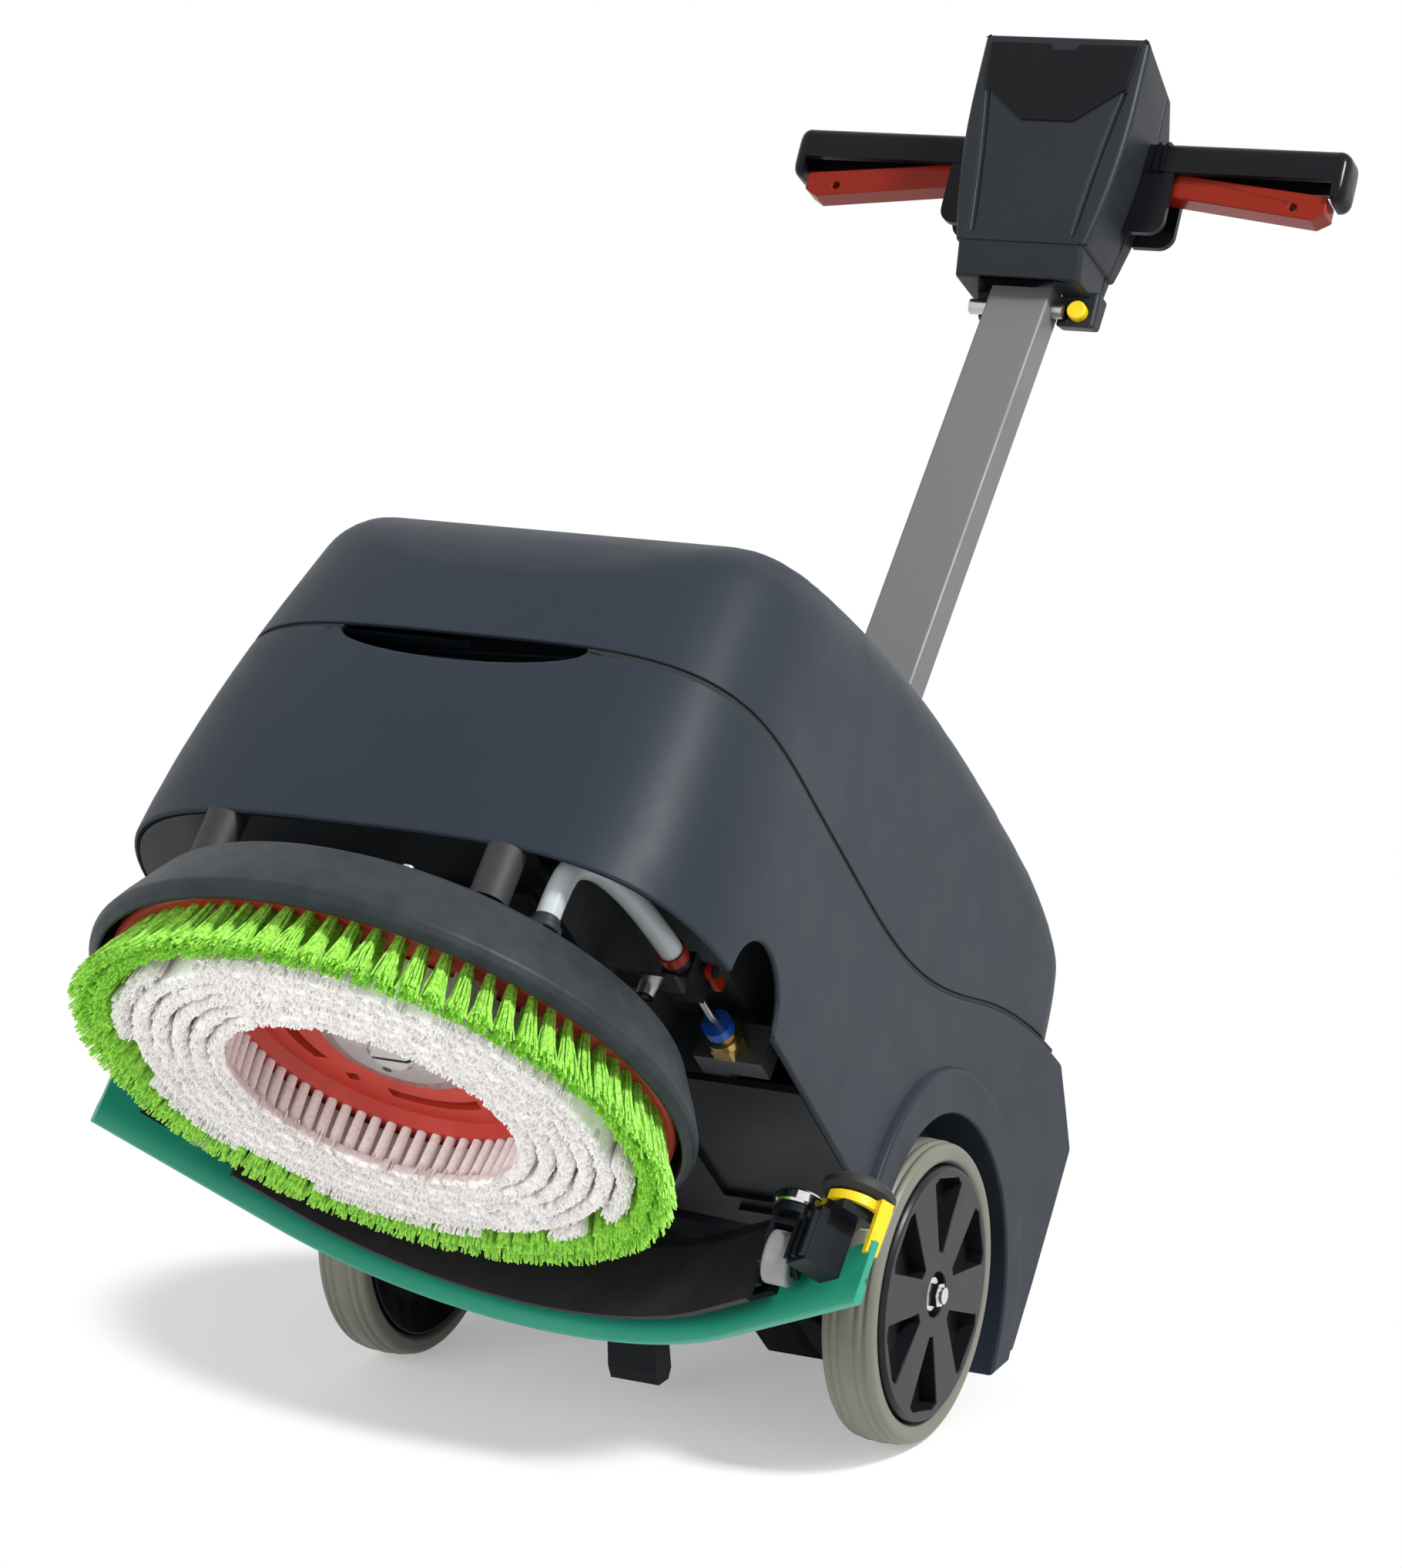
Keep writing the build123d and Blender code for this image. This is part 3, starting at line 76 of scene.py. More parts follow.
class Slot(Enum):
    """Material slots of the record."""

    SLATE = "slate"
    BLACK = "black"
    GLOSS = "gloss"
    SKIRT = "skirt"
    TUBE = "tube"
    STEEL = "steel"
    CHASSIS = "chassis"
    CHROME = "chrome"
    ALU = "alu"
    BRASS = "brass"
    RUBBER = "rubber"
    SEAL = "seal"
    TYRE = "tyre"
    HUB = "hub"
    TANK = "tank"
    RED_BRUSH = "red_brush"
    GREEN_FIBRE = "green_fibre"
    WHITE_FIBRE = "white_fibre"
    BLADE = "blade"
    STRIP = "strip"
    GREY_WHEEL = "grey_wheel"
    YELLOW = "yellow"
    RED = "red"
    BLUE = "blue"
    HOSE = "hose"


class Body(Enum):
    """Bodies of the mechanism that new pieces ride on."""

    MACHINE = "machine"
    HOOD = "hood"
    BRUSH = "brush"
    SQUEEGEE = "squeegee"
    WHEEL_RIGHT = "wheel_right"
    WHEEL_LEFT = "wheel_left"
    HANDLE = "handle"
    HEAD = "head"
    LEVER_RIGHT = "lever_right"
    LEVER_LEFT = "lever_left"


Dressing = dict[Slot, tuple[str, ...]]   # carried-over nodes by their finish


def full_circle(count: int) -> np.ndarray:
    """Evenly spaced turns of a whole circle in radians, the last one step short of the first."""
    return np.linspace(0.0, 2 * np.pi, count, endpoint=False)


def squared(wave: np.ndarray, power: float) -> np.ndarray:
    """A sine or cosine raised to a power under its own sign; it makes a circle a squared oval."""
    return np.sign(wave) * np.abs(wave) ** power


def rounding(share: np.ndarray) -> np.ndarray:
    """How far a quarter circle of radius 1 has fallen at a share of its way out."""
    return 1.0 - np.sqrt(np.clip(1.0 - share ** 2, 0.0, 1.0))


# ---------------------------------------------------------------- finishes
class NodeDesk:
    """Lays out the node tree of one finish."""

    CLOUD_RANGE = (0.3, 0.7)     # nearly all values of a noise lie between these
    OCTAVE_WEIGHT = 0.55         # weight of a noise's octave against the coarser one before it

    def __init__(self, name: str) -> None:
        """Start an empty tree that ends in one Principled shader.

        Args:
            name: Name of the material.
        """
        self.material = bpy.data.materials.new(name)
        self.material.use_nodes = True
        self.tree = self.material.node_tree
        self.tree.nodes.clear()
        output = self.tree.nodes.new("ShaderNodeOutputMaterial")
        self.shader = self.tree.nodes.new("ShaderNodeBsdfPrincipled")
        self.join(self.shader.outputs["BSDF"], output.inputs["Surface"])
        self.place = self.tree.nodes.new("ShaderNodeTexCoord").outputs["Object"]

    def join(self, start: bpy.types.NodeSocket, end: bpy.types.NodeSocket) -> None:
        """Link two sockets."""
        self.tree.links.new(start, end)

    def fixed(self, **values: float | tuple) -> None:
        """Set sockets of the shader by name, with underscores for spaces."""
        for key, value in values.items():
            self.shader.inputs[key.replace("_", " ")].default_value = value

    def noise(self, scale: float, detail: float = 3.0) -> bpy.types.NodeSocket:
        """Cloudy noise between 0 and 1 on Object coordinates.

        Args:
            scale: Clouds per metre.
            detail: Octaves.

        Returns:
            The noise's value socket.
        """
        node = self.tree.nodes.new("ShaderNodeTexNoise")
        node.inputs["Scale"].default_value = scale
        node.inputs["Detail"].default_value = detail
        node.inputs["Roughness"].default_value = self.OCTAVE_WEIGHT
        self.join(self.place, node.inputs["Vector"])
        return node.outputs["Fac"]

    def shade(self, value: bpy.types.NodeSocket, dark: Colour, light: Colour,
              reach: tuple[float, float] = CLOUD_RANGE) -> None:
        """Colour the shader between two colours along a value.

        Args:
            value: Socket to read.
            dark: Colour at the lower end.
            light: Colour at the upper end.
            reach: Values at the two ends.
        """
        ramp = self.tree.nodes.new("ShaderNodeValToRGB")
        for element, position, colour in zip(ramp.color_ramp.elements, reach, (dark, light)):
            element.position = position
            element.color = (*colour, 1.0)
        self.join(value, ramp.inputs["Fac"])
        self.join(ramp.outputs["Color"], self.shader.inputs["Base Color"])

    def sheen(self, value: bpy.types.NodeSocket, roughness: float, smoother: float,
              duller: float) -> None:
        """Let the roughness wander about its middle along a cloudy value.

        Args:
            value: Socket to read.
            roughness: Middle of the roughness.
            smoother: How far it falls below the middle.
            duller: How far it rises above the middle.
        """
        node = self.tree.nodes.new("ShaderNodeMapRange")
        low, high = self.CLOUD_RANGE
        for name, number in (("From Min", low), ("From Max", high),
                             ("To Min", roughness - smoother), ("To Max", roughness + duller)):
            node.inputs[name].default_value = number
        self.join(value, node.inputs["Value"])
        self.join(node.outputs["Result"], self.shader.inputs["Roughness"])

    def relief(self, height: bpy.types.NodeSocket, depth: float) -> None:
        """Bump the surface.

        Args:
            height: Socket with the height from 0 to 1.
            depth: Height of the relief in millimetres.
        """
        bump = self.tree.nodes.new("ShaderNodeBump")
        bump.inputs["Distance"].default_value = depth / MM_PER_METRE
        self.join(height, bump.inputs["Height"])
        self.join(bump.outputs["Normal"], self.shader.inputs["Normal"])


def tinted(colour: Colour, factor: float) -> Colour:
    """A colour made lighter or darker by a factor."""
    return tuple(min(1.0, c * factor) for c in colour)


@dataclass(frozen=True)
class Moulding:
    """Moulded plastic or rubber: slow tone clouds, a spark-eroded grain and uneven sheen."""

    name: str
    colour: Colour
    roughness: float = 0.42
    grain: float = 750.0         # grains per metre
    depth: float = 0.03          # height of the grain in millimetres
    clouds: float = 0.06         # share by which clouds lighten and darken the colour
    cloud_scale: float = 9.0     # clouds per metre
    specular: float = 0.5
    sheen: float = 0.03          # how far the roughness strays both ways
    sheen_fineness: float = 3.0  # times that the sheen's clouds are finer than the tone's

    def make(self) -> bpy.types.Material:
        """Build the material."""
        desk = NodeDesk(self.name)
        desk.shade(desk.noise(self.cloud_scale, detail=5.0),
                   tinted(self.colour, 1 - self.clouds), tinted(self.colour, 1 + self.clouds))
        desk.sheen(desk.noise(self.cloud_scale * self.sheen_fineness), self.roughness,
                   self.sheen, self.sheen)
        desk.relief(desk.noise(self.grain, detail=2.0), self.depth)
        desk.fixed(Specular_IOR_Level=self.specular)
        return desk.material


@dataclass(frozen=True)
class Metal:
    """Plated, turned, cast or painted metal: a fine grain, and sheen dulled by handling."""

    name: str
    colour: Colour
    roughness: float = 0.3
    metallic: float = 1.0
    grain: float = 500.0         # grains per metre
    depth: float = 0.01          # height of the grain in millimetres
    tones: tuple[float, float] = (0.93, 1.05)    # darkest and lightest grain, against the colour
    handled: float = 28.0        # handled places per metre
    sheen: tuple[float, float] = (0.06, 0.08)    # how far the roughness falls and rises

    def make(self) -> bpy.types.Material:
        """Build the material."""
        desk = NodeDesk(self.name)
        fine = desk.noise(self.grain, detail=4.0)
        desk.shade(fine, *(tinted(self.colour, tone) for tone in self.tones))
        desk.sheen(desk.noise(self.handled, detail=4.0), self.roughness, *self.sheen)
        desk.relief(fine, self.depth)
        desk.fixed(Metallic=self.metallic)
        return desk.material


@dataclass(frozen=True)
class Fibre:
    """Plastic bristles: every filament in its own tone, and light passing through."""

    name: str
    dark: Colour
    light: Colour
    glow: float                  # share of the light that passes through
    glow_depth: float = 0.004    # how far it travels inside, in metres
    roughness: float = 0.45
    specular: float = 0.35
    tone_scale: float = 420.0    # changes of tone per metre
    tone_reach: tuple[float, float] = (0.34, 0.62)   # noise of the darkest and lightest tone
    grain: float = 1800.0        # grains per metre
    depth: float = 0.02          # height of the grain in millimetres

    def make(self) -> bpy.types.Material:
        """Build the material."""
        desk = NodeDesk(self.name)
        desk.shade(desk.noise(self.tone_scale), self.dark, self.light, self.tone_reach)
        desk.fixed(Roughness=self.roughness, Specular_IOR_Level=self.specular,
                   Subsurface_Weight=self.glow, Subsurface_Scale=self.glow_depth,
                   Subsurface_Radius=self.light)
        desk.relief(desk.noise(self.grain, detail=1.0), self.depth)
        return desk.material


@dataclass(frozen=True)
class ClearPlastic:
    """Milky clear tubing or a translucent tank wall."""

    name: str
    colour: Colour
    clarity: float               # share of the light that goes straight through
    roughness: float = 0.18
    milk: float = 0.94           # darkest cloud, against the colour
    cloud_scale: float = 35.0    # clouds per metre
    handled: float = 90.0        # handled places per metre
    sheen: tuple[float, float] = (0.05, 0.06)    # how far the roughness falls and rises
    ripples: float = 160.0       # ripples per metre
    depth: float = 0.05          # height of the ripples in millimetres
    refraction: float = 1.42

    def make(self) -> bpy.types.Material:
        """Build the material."""
        desk = NodeDesk(self.name)
        desk.shade(desk.noise(self.cloud_scale, detail=4.0),
                   tinted(self.colour, self.milk), self.colour)
        desk.sheen(desk.noise(self.handled), self.roughness, *self.sheen)
        desk.relief(desk.noise(self.ripples, detail=2.0), self.depth)
        desk.fixed(Transmission_Weight=self.clarity, IOR=self.refraction)
        return desk.material


class Finishes:
    """Every finish on the machine, made once and kept by slot."""

    def __init__(self) -> None:
        """Make the materials."""
        recipes = {
            Slot.SLATE: Moulding("slate moulding", (0.017, 0.0235, 0.033), 0.48, grain=900.0,
                                 depth=0.010, clouds=0.05, specular=0.17),
            Slot.BLACK: Moulding("black moulding", (0.009, 0.011, 0.014), 0.40, specular=0.15),
            Slot.GLOSS: Moulding("gloss black", (0.006, 0.006, 0.008), 0.20, depth=0.004,
                                 specular=0.13),
            Slot.SKIRT: Moulding("rough skirt", (0.021, 0.026, 0.031), 0.50, grain=260.0,
                                 depth=0.14, clouds=0.26, cloud_scale=60.0, specular=0.22),
            Slot.TUBE: Metal("grey metallic paint", (0.150, 0.151, 0.153), 0.46, metallic=0.25,
                             grain=1600.0),
            Slot.STEEL: Metal("plated steel", (0.56, 0.56, 0.55), 0.30),
            Slot.CHASSIS: Moulding("coated steel", (0.010, 0.010, 0.012), 0.46, grain=420.0,
                                   depth=0.06, specular=0.16),
            Slot.CHROME: Metal("bright plating", (0.72, 0.72, 0.72), 0.14),
            Slot.ALU: Metal("cast aluminium", (0.52, 0.53, 0.54), 0.46, depth=0.06),
            Slot.BRASS: Metal("turned brass", (0.62, 0.43, 0.16), 0.26),
            Slot.RUBBER: Moulding("soft rubber", (0.016, 0.016, 0.017), 0.62, grain=300.0,
                                  depth=0.08),
            Slot.SEAL: Moulding("foam strip", (0.012, 0.012, 0.012), 0.85, grain=500.0, depth=0.2),
            Slot.TYRE: Moulding("grey tyre", (0.160, 0.158, 0.124), 0.44, grain=220.0, depth=0.05,
                                clouds=0.08, cloud_scale=14.0),
            Slot.HUB: Moulding("hub moulding", (0.009, 0.010, 0.012), 0.33, grain=600.0,
                               specular=0.24),
            Slot.TANK: ClearPlastic("tank wall", (0.060, 0.066, 0.070), 0.12, roughness=0.45),
            Slot.RED_BRUSH: Moulding("red brush back", (0.46, 0.035, 0.020), 0.42, grain=180.0,
                                     depth=0.10, clouds=0.12, cloud_scale=40.0),
            Slot.GREEN_FIBRE: Fibre("green bristle", (0.15, 0.48, 0.020), (0.42, 0.84, 0.120), 0.2),
            Slot.WHITE_FIBRE: Fibre("white bristle", (0.84, 0.80, 0.78), (0.96, 0.945, 0.93), 0.35),
            Slot.BLADE: Moulding("teal rubber", (0.016, 0.265, 0.170), 0.38, grain=420.0,
                                 clouds=0.07, cloud_scale=16.0),
            Slot.STRIP: Moulding("black wiping rubber", (0.010, 0.010, 0.010), 0.66, grain=240.0,
                                 depth=0.10, clouds=0.3, cloud_scale=60.0),
            Slot.GREY_WHEEL: Moulding("grey roller", (0.22, 0.22, 0.225), 0.5, grain=180.0,
                                      depth=0.08, clouds=0.16, cloud_scale=70.0),
            Slot.YELLOW: Moulding("yellow moulding", (0.78, 0.56, 0.012), 0.30, depth=0.01),
            Slot.RED: Moulding("orange red moulding", (0.20, 0.012, 0.003), 0.28, depth=0.01,
                               specular=0.20),
            Slot.BLUE: Moulding("blue moulding", (0.010, 0.085, 0.42), 0.28, depth=0.01),
            Slot.HOSE: ClearPlastic("clear hose", (0.74, 0.80, 0.82), 0.45),
        }
        self.by_slot = {slot: recipe.make() for slot, recipe in recipes.items()}
        self.head = Moulding("head moulding", (0.016, 0.019, 0.023), 0.42, depth=0.012,
                             specular=0.18).make()

    def dress(self, piece: bpy.types.Object, slot: Slot) -> None:
        """Give a piece its only material.

        Args:
            piece: New piece or carried-over node.
            slot: Finish to use.
        """
        if not piece.material_slots:
            piece.data.materials.append(self.by_slot[slot])
        for place in piece.material_slots:
            place.material = self.by_slot[slot]


# ---------------------------------------------------------------- frames and meshes
@dataclass(frozen=True)
class WorkFrame:
    """Place of the wheel axle's middle on the parked machine, in metres."""

    x: float
    y: float
    z: float

    @classmethod
    def from_wheels(cls) -> "WorkFrame":
        """Find the axle midway between the two tyres."""
        tyres = np.array([*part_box("tyre_right"), *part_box("tyre_left")])
        return cls(*((np.min(tyres, axis=0) + np.max(tyres, axis=0)) / 2))

    def place(self, points: np.ndarray) -> np.ndarray:
        """Tip points back by 45 degrees about the axle and set them on the floor.

        Args:
            points: x, u and w in millimetres along the last axis.

        Returns:
            World points in metres, in the same layout.
        """
        x, u, w = points[..., 0], points[..., 1], points[..., 2]
        slant = math.sqrt(0.5) / MM_PER_METRE
        return np.stack([x / MM_PER_METRE + self.x, (u + w) * slant + self.y,
                         (w - u) * slant + self.z], axis=-1)


class Patchwork:
    """Gathers grids of points into one closed mesh."""

    def __init__(self) -> None:
        """Start with nothing."""
        self.points: list[np.ndarray] = []
        self.quads: list[np.ndarray] = []
        self.fans: list[np.ndarray] = []
        self.count = 0

    def tubes(self, rings: np.ndarray) -> None:
        """Add a family of closed tubes: rings joined by quads and each end closed by a fan.

        Args:
            rings: Points laid out as tube, ring along it, point round it, coordinate.
        """
        family, length, around, _ = rings.shape
        index = np.arange(family * length * around).reshape(family, length, around) + self.count
        after = np.roll(index, -1, axis=2)
        quads = np.stack([index[:, :-1], after[:, :-1], after[:, 1:], index[:, 1:]], axis=-1)
        self.points.append(rings.reshape(-1, 3))
        self.quads.append(quads.reshape(-1, 4))
        self.count += rings.size // 3
        for end, reverse in ((0, True), (length - 1, False)):
            middle = rings[:, end].mean(axis=1)
            hub = np.arange(family)[:, None] + self.count
            rim, following = index[:, end], after[:, end]
            first, second = (following, rim) if reverse else (rim, following)
            fan = np.stack([first, second, np.broadcast_to(hub, rim.shape)], axis=-1)
            self.points.append(middle)
            self.fans.append(fan.reshape(-1, 3))
            self.count += family

    def trough(self, rings: np.ndarray) -> None:
        """Add a bar with an open channel below; strips from outer to inner line close its ends.

        Args:
            rings: Points laid out as station along the bar, point of the section, coordinate. The
                first half of a section is its outer line, and the second half runs back inside.
        """
        length, around, _ = rings.shape
        index = np.arange(length * around).reshape(length, around) + self.count
        after = np.roll(index, -1, axis=1)
        quads = [np.stack([index[:-1], after[:-1], after[1:], index[1:]], axis=-1).reshape(-1, 4)]
        for end in (0, length - 1):
            outer, inner = index[end, :around // 2], index[end, :around // 2 - 1:-1]
            quads.append(np.stack([outer[:-1], outer[1:], inner[1:], inner[:-1]], axis=-1))
        self.points.append(rings.reshape(-1, 3))
        self.quads.append(np.concatenate(quads))
        self.count += length * around

    def hoop(self, grid: np.ndarray) -> None:
        """Add a grid that closes on itself both ways, as a ring of profiles does.

        Args:
            grid: Points laid out as station round the hoop, point of the profile, coordinate.
        """
        rows, columns, _ = grid.shape
        index = np.arange(rows * columns).reshape(rows, columns) + self.count
        down = np.roll(index, -1, axis=0)
        quads = np.stack([index, np.roll(index, -1, axis=1), np.roll(down, -1, axis=1), down],
                         axis=-1)
        self.points.append(grid.reshape(-1, 3))
        self.quads.append(quads.reshape(-1, 4))
        self.count += rows * columns

    def mesh(self, name: str) -> bpy.types.Mesh:
        """Make the mesh, smooth and with its faces pointing outwards.

        Args:
            name: Name of the mesh.

        Returns:
            The mesh.
        """
        mesh = bpy.data.meshes.new(name)
        points = np.concatenate(self.points)
        quads = np.concatenate(self.quads)
        fans = np.concatenate(self.fans) if self.fans else np.zeros((0, 3), int)
        corners = np.concatenate([quads.ravel(), fans.ravel()])
        sizes = np.concatenate([np.full(len(quads), 4), np.full(len(fans), 3)])
        mesh.vertices.add(len(points))
        mesh.vertices.foreach_set("co", points.ravel().astype(np.float32))
        mesh.loops.add(len(corners))
        mesh.loops.foreach_set("vertex_index", corners.astype(np.int32))
        mesh.polygons.add(len(sizes))
        mesh.polygons.foreach_set("loop_start", (np.cumsum(sizes) - sizes).astype(np.int32))
        mesh.update(calc_edges=True)
        turned = bmesh.new()
        turned.from_mesh(mesh)
        bmesh.ops.recalc_face_normals(turned, faces=turned.faces)
        turned.to_mesh(mesh)
        turned.free()
        mesh.polygons.foreach_set("use_smooth", np.ones(len(mesh.polygons), bool))
        return mesh


class Workshop:
    """Adds pieces to the machine: dresses them, lets them ride and reports them."""

    WELD = 2e-6                  # corners nearer than this are one, in metres
    FLAT = 0.4                   # facets that turn by less than this are one face, in degrees
    EDGE = 32.0                  # edges that turn by more than this are rounded, in degrees

    def __init__(self, finishes: Finishes, work: WorkFrame) -> None:
        """Keep the finishes and the working frame.

        Args:
            finishes: Materials by slot.
            work: Frame that pieces are drawn in.
        """
        self.finishes = finishes
        self.work = work

    def fit(self, mesh: bpy.types.Mesh, body: Body, slot: Slot, *stands_for: str,
            sharp: float = 40.0) -> bpy.types.Object:
        """Make a mesh a piece of the machine.

        Args:
            mesh: Mesh in world metres.
            body: Body that it rides on.
            slot: Finish.
            stands_for: Frame nodes that it takes the place of.
            sharp: Angle in degrees from which an edge stays sharp.

        Returns:
            The piece.
        """
        mesh.set_sharp_from_angle(angle=math.radians(sharp))
        piece = bpy.data.objects.new(mesh.name, mesh)
        bpy.context.scene.collection.objects.link(piece)
        self.finishes.dress(piece, slot)
        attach(piece, body.value)
        if stands_for:
            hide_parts(*stands_for)
        LOG.info("%s rides on %s, %d faces", piece.name, body.value, len(mesh.polygons))
        return piece

    def softened(self, node: str, body: Body, slot: Slot, width: float,
                 segments: int = 2) -> bpy.types.Object:
        """Refit a node as a welded copy whose outward edges are rounded; inward ones stay sharp.

        Args:
            node: Frame node to take the place of.
            body: Body that it rides on.
            slot: Finish.
            width: Width of the rounding in millimetres.
            segments: Steps across the rounding.

        Returns:
            The piece.
        """
        welded = bmesh.new()
        welded.from_mesh(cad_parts[node].data)
        bmesh.ops.remove_doubles(welded, verts=welded.verts, dist=self.WELD)
        bmesh.ops.dissolve_limit(welded, angle_limit=math.radians(self.FLAT), verts=welded.verts,
                                 edges=welded.edges, use_dissolve_boundaries=False)
        rough = bpy.data.meshes.new("rough")
        welded.to_mesh(rough)
        welded.free()
        mesh = bpy.data.meshes.new(node + ".softened")
        mesh.from_pydata([v.co for v in rough.vertices], [],
                         [tuple(p.vertices) for p in rough.polygons])
        bpy.data.meshes.remove(rough)
        marked = bmesh.new()
        marked.from_mesh(mesh)
        weight = marked.edges.layers.float.new("bevel_weight_edge")
        least = math.radians(self.EDGE)
        for edge in marked.edges:
            edge[weight] = float(edge.is_manifold and edge.calc_face_angle_signed() > least)
        marked.to_mesh(mesh)
        marked.free()
        mesh.polygons.foreach_set("use_smooth", np.ones(len(mesh.polygons), bool))
        piece = self.fit(mesh, body, slot, node, sharp=self.EDGE)
        bevel = piece.modifiers.new("rounded edges", "BEVEL")
        bevel.width = width / MM_PER_METRE
        bevel.segments = segments
        bevel.limit_method = "WEIGHT"
        bevel.use_clamp_overlap = False
        bevel.harden_normals = True
        return piece

    def dress_nodes(self, dressing: Dressing) -> None:
        """Give carried-over nodes their finish.

        Args:
            dressing: Names of the nodes by their finish.
        """
        for slot, nodes in dressing.items():
            for node in nodes:
                self.finishes.dress(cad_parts[node], slot)
                LOG.info("%s carried over in %s", node, slot.value)


# ---------------------------------------------------------------- housing
@dataclass
class Housing:
    """Body shell, hood and what stands inside and under them."""

    shop: Workshop
    rounded: tuple[tuple[str, Body, Slot, float], ...] = (   # with the width of the rounding
        ("body_shell", Body.MACHINE, Slot.SLATE, 2.4),
        ("hood", Body.HOOD, Slot.SLATE, 1.2),
        ("splash_skirt", Body.MACHINE, Slot.SKIRT, 1.6),
    )

    def build(self) -> None:
        """Round the edges of the mouldings and dress the nodes that keep their own shape."""
        for node, body, slot, width in self.rounded:
            self.shop.softened(node, body, slot, width, segments=3)
        self.shop.dress_nodes({
            Slot.SEAL: ("hood_seal",),
            Slot.BLACK: ("under_deck", "vacuum_motor", "vacuum_mount", "control_box", "lift_pedal"),
            Slot.CHASSIS: ("chassis",),
            Slot.STEEL: ("axle", "chassis_pins", "lift_guide", "skirt_bolts", "swivel_post"),
            Slot.ALU: ("gearbox", "brush_motor"),
            Slot.TANK: ("clean_tank", "dirty_tank"),
            Slot.RUBBER: ("buffer_posts",),
        })


# ---------------------------------------------------------------- brush
@dataclass(frozen=True)
class TuftRow:
    """One ring of bristle tufts, radii and heights in millimetres."""

    foot: float                  # radius of the ring at the brush back
    tip: float                   # radius of the ring at the tips
    count: int                   # tufts in a full ring
    bristles: int                # filaments in a tuft
    hole: float                  # radius of a tuft at its foot
    spread: float                # half depth of a tuft at its tips, towards the axis
    width: float                 # half width of a tuft at its tips, along the ring
    start: float = 0.0           # turn of the first tuft, in steps
    sectors: tuple[tuple[float, float], ...] = ((0.0, 360.0),)   # degrees that have tufts
    seen_from: float = 0.0       # share of the height below which filaments are hidden
    crest: float | None = None   # height of the lower edge of the tips' matted crest

    def turns(self) -> np.ndarray:
        """Turns of the tufts that exist, in radians."""
        turns = (np.arange(self.count) + self.start) * (360.0 / self.count)
        kept = np.zeros(self.count, bool)
        for low, high in self.sectors:
            kept |= (turns >= low) & (turns <= high)
        return np.radians(turns[kept])


